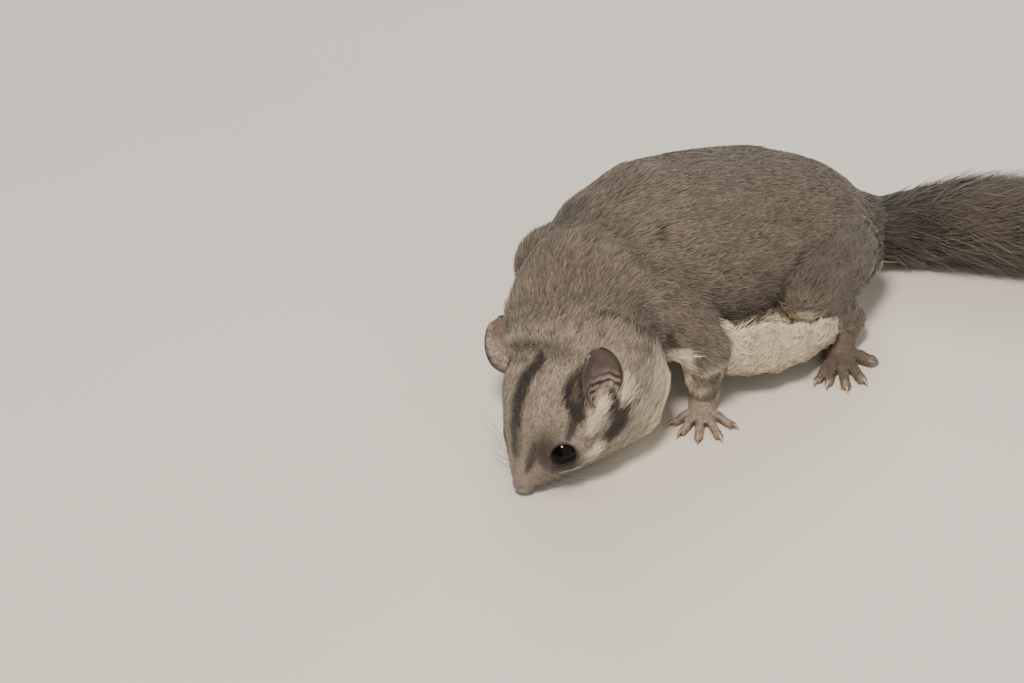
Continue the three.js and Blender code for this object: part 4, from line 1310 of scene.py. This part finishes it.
class GLIDER_OT_tail_coat(bpy.types.Operator):
    """Long soft hair of the tail"""

    bl_idname = "glider.tail_coat"
    bl_label = "Tail coat"

    def execute(self, context):
        sizes = context.scene.glider_sizes
        ground = Ground()
        on = ground.part_names == "tail"
        tail = next(tube for tube in body_tubes() if tube.name == "tail")
        roots = ground.roots(np.where(on, TAIL_DENSITY, 0), 14)
        half = np.interp(roots["along"], tail.shares, tail.coat.mean(1))
        from_rump = mix(0.45, 1.0, smooth(0.02, 0.16, roots["along"]))
        length = sizes.tail_coat * np.clip(half / 12.5, 0.3, 1.05) * from_rump
        colours = context.scene.glider_colours
        hair = hair_material("long_soft_tail_hair", colours, colours.tail_fur, 0.55)
        bend = {"bends": 3, "droop": 0.5, "curl": 0.12, "stray": 0.16}
        for piece in grow("tail_coat", roots, length, 0.3, 0.4, hair, 34, **bend):
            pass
        return {"FINISHED"}


class GLIDER_OT_eyes(bpy.types.Operator):
    """Eyeballs and their bare dark lids"""

    bl_idname = "glider.eyes"
    bl_label = "Eyes"

    def execute(self, context):
        wet = eye_material()
        lid = bare_material("dark_bare_lid", linear(0x231B18), 0.45)
        for side, word in SIDE_WORDS:
            points, quads, triangles = ball(eye_centre(side), (EYE_RADIUS,) * 3, sides=48, rows=32)
            piece = new_piece(f"eyeball_{word}", points, [quads, triangles], wet)
            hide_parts(f"eye_{word}")
            piece = new_piece(f"lids_{word}", *lid_mesh(side), lid)
        return {"FINISHED"}


LID_EDGE, LID_WIDTH = 0.96, 0.3  # radians from the eye's axis to the lid's edge, and on to its root


def lid_mesh(side, rings=9, sides=64):
    """A rounded rim about the eye's opening, almond-shaped, with its corner towards the nose."""
    axis, forward, upward = eye_ways(side)
    turns = np.linspace(0, 2 * math.pi, sides, endpoint=False)
    points = []
    for ring in range(rings + 1):
        share = ring / rings
        for turn in turns:
            corner = 0.09 * max(0.0, math.cos(turn)) ** 6 + 0.04 * max(0.0, -math.cos(turn)) ** 6
            angle = LID_EDGE - 0.09 * abs(math.sin(turn)) + corner + LID_WIDTH * share
            swell = 0.06 + 0.26 * math.sin(math.pi * min(1, share * 1.25)) - 0.4 * share**2
            around = forward * math.cos(turn) + upward * math.sin(turn)
            direction = axis * math.cos(angle) + around * math.sin(angle)
            points.append(eye_centre(side) + direction * (EYE_RADIUS + swell))
    ids = np.arange((rings + 1) * sides).reshape(rings + 1, sides)
    return np.array(points), [ring_quads(ids)]


EAR_ROOT_SINK = 5
EAR_SHEET = 0.7  # thickness of an ear's skin
EAR_WIDEST = 0.55  # share of its length at which an ear is widest
EAR_CURL = (80, 38)  # degrees that half an ear is rolled, at its root and at its tip


def ear_mesh(side, long=72, wide=56):
    """One cupped ear as a closed sheet with folds inside, and its fields of pink and dark."""
    along = head_way(*EAR_LIE[side])
    facing = head_way(*EAR_FACING[side])
    facing = unit(facing - along * (facing @ along))
    across = np.cross(along, facing)
    root = on_head(EAR_PLACE[0], EAR_PLACE[1] * side, EAR_PLACE[2]) - along * EAR_ROOT_SINK
    u, v = np.meshgrid(np.linspace(0, 1, long + 1), np.linspace(-1, 1, wide + 1), indexing="ij")
    tip = np.sqrt(np.maximum(0, 1 - (np.maximum(0, u - EAR_WIDEST) / 0.47) ** 2))
    bowl = mix(0.1, 1, np.sin(np.minimum(u / EAR_WIDEST, 1) * math.pi / 2) ** 1.6)
    open_share = np.where(u < EAR_WIDEST, bowl, tip)
    curl = np.radians(mix(*EAR_CURL, np.minimum(1, u * 1.15)))
    radius = EAR_HALF_WIDTH * open_share / curl

    def face(push):
        turn = v * curl
        place = root + along * ((EAR_LENGTH + EAR_ROOT_SINK) * u)[..., None]
        place = place + across * ((radius - push) * np.sin(turn))[..., None]
        return place + facing * (radius - (radius - push) * np.cos(turn) - 2.2 * u * u)[..., None]

    folded = 1.0 if side > 0 else 0.3
    ridge = np.sin(u * 58 + 4.5 * v + 0.7 * np.sin(7 * v + 2) + 0.6 * np.sin(13 * v - 14 * u))
    folds = 0.34 * folded * ridge * smooth(0.98, 0.3, np.abs(v - 0.15)) * (1 - smooth(0.5, 0.75, u))
    rim = 0.18 * smooth(0.86, 0.97, np.abs(v)) + 0.18 * smooth(0.9, 0.98, u)
    thin = EAR_SHEET / 2 * np.sqrt(np.maximum(0.05, 1 - np.abs(v) ** 14))
    thin = thin * np.sqrt(np.maximum(0.05, 1 - u**18))
    inside, outside = face(thin + folds + rim), face(-thin - rim)
    points = np.concatenate([inside.reshape(-1, 3), outside.reshape(-1, 3)])
    # Tips darker, the near ear's far more than the far ear's: painted shade on the near ear's tip. The
    # grooves between the folds get painted shade too.
    shaded = 0.9 if side > 0 else 0.35
    fold_groove_shade = 0.95 * folded * smooth(0.2, -0.7, ridge) * (1 - smooth(0.5, 0.7, u))
    edge = smooth(0.84, 1.0, np.abs(v)) * 0.8
    dark_in = np.clip(smooth(0.35, 0.85, u) * shaded + edge + fold_groove_shade, 0, 1)
    dark_out = np.clip(0.5 + 0.45 * smooth(0.3, 1.0, u), 0, 1)
    dark = np.concatenate([dark_in.ravel(), dark_out.ravel()])
    return points, [closed_sheet(long, wide)[:, ::-1]], {"dark": dark}


class GLIDER_OT_ears(bpy.types.Operator):
    """Thin bare cupped ears with folds inside"""

    bl_idname = "glider.ears"
    bl_label = "Ears"

    def execute(self, context):
        colour = context.scene.glider_colours.ear_skin
        skin = bare_material("thin_ear_skin", colour, 0.45, 1100.0, 0.0003, 0.3)
        for side, word in SIDE_WORDS:
            points, faces, fields = ear_mesh(side)
            piece = new_piece(f"ear_shell_{word}", points, faces, skin, fields)
            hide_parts(f"ear_{word}")
        return {"FINISHED"}


NOSE_CENTRE, NOSE_RADII = (0.9, 0, 0.7), (2.3, 2.5, 1.9)
NOSTRIL, NOSTRIL_RADII = (-0.9, 1.3, 0.5), (1.3, 0.62, 0.45)


class GLIDER_OT_nose(bpy.types.Operator):
    """Bare nose with nostrils"""

    bl_idname = "glider.nose"
    bl_label = "Nose"

    def execute(self, context):
        ways = (HEAD_AHEAD, HEAD_LEFT, HEAD_CROWN)
        points, quads, triangles = ball(on_head(*NOSE_CENTRE), NOSE_RADII, ways, sides=72, rows=48)
        places = head_places(points)
        dark = np.zeros(len(points))
        for side in SIDES:
            nostril = np.array(NOSTRIL) * (1, side, 1)
            hole = np.linalg.norm((places - nostril) / NOSTRIL_RADII, axis=1)
            points -= np.outer(1.0 * np.exp(-(hole**2) * 1.4), HEAD_AHEAD)
            # The nostrils painted dark: painted shade in their hollows
            dark = np.maximum(dark, 1 - smooth(0.5, 1.1, hole))
        slit = np.exp(-((places[:, 1] / 0.2) ** 2)) * smooth(0.9, -0.2, places[:, 2]) * (places[:, 0] < 1.2)
        points -= np.outer(0.3 * slit, HEAD_AHEAD)
        colour = context.scene.glider_colours.nose_skin
        leather = bare_material("moist_nose_leather", colour, 0.38, 2600.0, 0.0001)
        piece = new_piece("nose", points, [quads, triangles], leather, {"dark": dark})
        return {"FINISHED"}


def joined(meshes):
    """Several meshes of (vertices, quads, triangles) as the points and faces of one."""
    starts = np.cumsum([0] + [len(mesh[0]) for mesh in meshes])
    quads = np.vstack([mesh[1] + start for mesh, start in zip(meshes, starts)])
    triangles = np.vstack([mesh[2] + start for mesh, start in zip(meshes, starts)])
    return np.vstack([mesh[0] for mesh in meshes]), [quads, triangles]


class GLIDER_OT_claws(bpy.types.Operator):
    """Small hooked claws on every digit but the big toes"""

    bl_idname = "glider.claws"
    bl_label = "Claws"

    def execute(self, context):
        claws = []
        for side in SIDES:
            for _, line, ahead, _, clawed in digits_of(side):
                if not clawed:
                    continue
                tip = line[-1]
                keys = [
                    (tip - ahead * 0.3 + UP * 0.4, 0.55, 0.5, 0.5),
                    (tip + ahead * 1.2 + UP * 0.62, 0.42, 0.42, 0.42),
                    (tip + ahead * 2.1 + UP * 0.15, 0.26, 0.28, 0.28),
                    (tip + ahead * CLAW_LENGTH - UP * (tip[2] - 0.3), 0.06, 0.07, 0.07),
                ]
                claws.append(Tube("claw", keys, steps=12, least=0.04).mesh(12))
        horn = plain_material("translucent_claw_horn", [(0.3, 0x5B4A3C), (0.7, 0xC9B79C)], 0.3, 500.0)
        piece = new_piece("claws", *joined(claws), horn)
        return {"FINISHED"}


def hair_tube(line, thickness, steps=10):
    keys = [(point, thickness * (1 - k / (len(line) - 1) * 0.8)) for k, point in enumerate(line)]
    tube = Tube("hair", keys, steps=steps, round_start=False, round_end=False, least=0.008)
    return tube.mesh(4)


WHISKER_ROWS, WHISKERS_IN_ROW = 3, 5
WHISKER_THICKNESS = 0.055


class GLIDER_OT_whiskers(bpy.types.Operator):
    """Long single whiskers on the muzzle"""

    bl_idname = "glider.whiskers"
    bl_label = "Whiskers"

    def execute(self, context):
        longest = context.scene.glider_sizes.whisker
        draw = np.random.default_rng(51)
        hairs = []
        for side in SIDES:
            for row in range(WHISKER_ROWS):
                for step in range(WHISKERS_IN_ROW):
                    root = on_head(3.6 + 1.2 * step, (4.2 + 0.7 * step) * side, 0.6 - 1.0 * row)
                    out = head_way(0.3 - 0.1 * step, side, 0.3 - 0.3 * row + draw.normal(0, 0.08))
                    size = longest * (0.4 + 0.12 * step) * draw.uniform(0.8, 1.1)
                    sag = head_way(-0.8, 0.1 * side, -0.15)
                    line = [root + out * size * s + sag * size * 0.35 * s**2 for s in (0, 0.35, 0.7, 1)]
                    line = [np.array([p[0], p[1], max(p[2], 0.3)]) for p in line]
                    hairs.append(hair_tube(line, WHISKER_THICKNESS))
        bristle = plain_material("dark_whisker_bristle", [(0.3, 0x1C1613), (0.8, 0x4A3D35)], 0.35, 60.0)
        piece = new_piece("whiskers", *joined(hairs), bristle)
        return {"FINISHED"}


# Camera and stage

CAMERA_AZIMUTH = 59.4  # degrees round from the animal's front towards its left side
CAMERA_ELEVATION = 34.5
CAMERA_ROLL = 8.4
CAMERA_DISTANCE = 694.0
LENS, SENSOR = 100.0, 36.0
IMAGE_WIDTH, IMAGE_HEIGHT = 1024, 683
ANCHOR = (22, 0, 7)  # left, forward, up of a point by the left elbow
ANCHOR_PIXEL = (705, 385)


def camera_matrix():
    """The camera's place and turn, with the anchor at its pixel."""
    turns = (CAMERA_AZIMUTH, CAMERA_ELEVATION, CAMERA_ROLL)
    azimuth, elevation, roll = (math.radians(turn) for turn in turns)
    level_back = np.array([math.sin(azimuth), -math.cos(azimuth), 0])
    back = level_back * math.cos(elevation) + UP * math.sin(elevation)
    level = np.array([math.cos(azimuth), math.sin(azimuth), 0.0])
    upward = np.cross(back, level)
    right = level * math.cos(roll) - upward * math.sin(roll)
    upward = level * math.sin(roll) + upward * math.cos(roll)
    focal = LENS / SENSOR * IMAGE_WIDTH
    shift = [(ANCHOR_PIXEL[0] - IMAGE_WIDTH / 2), -(ANCHOR_PIXEL[1] - IMAGE_HEIGHT / 2)]
    place = at(*ANCHOR) + back * CAMERA_DISTANCE
    place = place - (right * shift[0] + upward * shift[1]) / focal * CAMERA_DISTANCE
    matrix = Matrix.Identity(4)
    for row in range(3):
        matrix[row][0], matrix[row][1], matrix[row][2] = right[row], upward[row], back[row]
        matrix[row][3] = place[row] * METRES
    return matrix


LIGHTS = (  # name, place, target, size, watts, colour
    ("key", (0.45, -0.5, 1.15), (0, 0, 0.02), 0.3, 20.0, 0xFFF0DE),
    ("fill", (1.1, -0.1, 0.45), (0, 0, 0.02), 1.6, 6.0, 0xFFF6EA),
    ("rim", (-0.8, 0.6, 0.8), (0, 0, 0.03), 0.6, 6.0, 0xFFFFFF),
)
SKY_COLOUR, SKY_STRENGTH = 0xEEEDEA, 0.36
FLOOR_REACH = 3.0  # metres


def area_light(name, place, target, size, power, colour):
    data = bpy.data.lights.new(name, "AREA")
    data.shape = "DISK"
    data.size = size
    data.energy = power
    data.color = linear(colour)[:3]
    light = bpy.data.objects.new(name, data)
    light.location = place
    light.rotation_euler = (Vector(target) - Vector(place)).to_track_quat("-Z", "Y").to_euler()
    bpy.context.scene.collection.objects.link(light)


class GLIDER_OT_stage(bpy.types.Operator):
    """Pale floor, soft studio light and the camera"""

    bl_idname = "glider.stage"
    bl_label = "Stage"

    def execute(self, context):
        data = bpy.data.cameras.new("camera")
        data.lens = LENS
        data.sensor_width = SENSOR
        data.clip_start = 0.01
        data.clip_end = 20
        camera = bpy.data.objects.new("camera", data)
        camera.matrix_world = camera_matrix()
        context.scene.collection.objects.link(camera)
        context.scene.camera = camera
        mesh = bpy.data.meshes.new("floor")
        corners = [(x * FLOOR_REACH, y * FLOOR_REACH, 0) for x, y in ((-1, -1), (1, -1), (1, 1), (-1, 1))]
        mesh.from_pydata(corners, [], [(0, 1, 2, 3)])
        material, tree, shader = new_material("matt_painted_floor")
        place = add_node(tree, "ShaderNodeTexCoord").outputs["Object"]
        noise = add_node(tree, "ShaderNodeTexNoise", {"Scale": 6.0, "Detail": 3.0}, {"Vector": place})
        floor_colour = context.scene.glider_colours.floor
        worn = [part * 0.95 for part in floor_colour[:3]] + [1.0]
        tone = ramp_node(tree, noise.outputs[0], [(0.3, worn), (0.7, list(floor_colour))])
        tree.links.new(tone, shader.inputs["Base Color"])
        shader.inputs["Roughness"].default_value = 0.8
        mesh.materials.append(material)
        floor = bpy.data.objects.new("floor", mesh)
        context.scene.collection.objects.link(floor)
        world = bpy.data.worlds.new("studio")
        world.use_nodes = True
        background = world.node_tree.nodes["Background"]
        background.inputs[0].default_value = linear(SKY_COLOUR)
        background.inputs[1].default_value = SKY_STRENGTH
        context.scene.world = world
        for light in LIGHTS:
            area_light(*light)
        return {"FINISHED"}


class GLIDER_PT_panel(bpy.types.Panel):
    """Lists the steps that build the animal"""

    bl_label = "Sugar glider"
    bl_idname = "GLIDER_PT_panel"
    bl_space_type = "VIEW_3D"
    bl_region_type = "UI"
    bl_category = "Glider"

    def draw(self, context):
        for operator in OPERATORS:
            self.layout.operator(operator.bl_idname)
        for group in (context.scene.glider_sizes, context.scene.glider_colours):
            for name in group.bl_rna.properties.keys():
                if name not in ("rna_type", "name"):
                    self.layout.prop(group, name)


OPERATORS = (
    GLIDER_OT_stage,
    GLIDER_OT_skin,
    GLIDER_OT_eyes,
    GLIDER_OT_ears,
    GLIDER_OT_nose,
    GLIDER_OT_claws,
    GLIDER_OT_whiskers,
    GLIDER_OT_body_coat,
    GLIDER_OT_head_coat,
    GLIDER_OT_tail_coat,
)
CLASSES = (GliderSizes, GliderColours, *OPERATORS, GLIDER_PT_panel)


def register():
    for item in CLASSES:
        bpy.utils.register_class(item)
    bpy.types.Scene.glider_sizes = PointerProperty(type=GliderSizes)
    bpy.types.Scene.glider_colours = PointerProperty(type=GliderColours)


def unregister():
    del bpy.types.Scene.glider_colours
    del bpy.types.Scene.glider_sizes
    for item in reversed(CLASSES):
        bpy.utils.unregister_class(item)


def main():
    register()
    for operator in OPERATORS:
        getattr(bpy.ops.glider, operator.bl_idname.split(".")[1])()


if __name__ == "__main__":
    main()
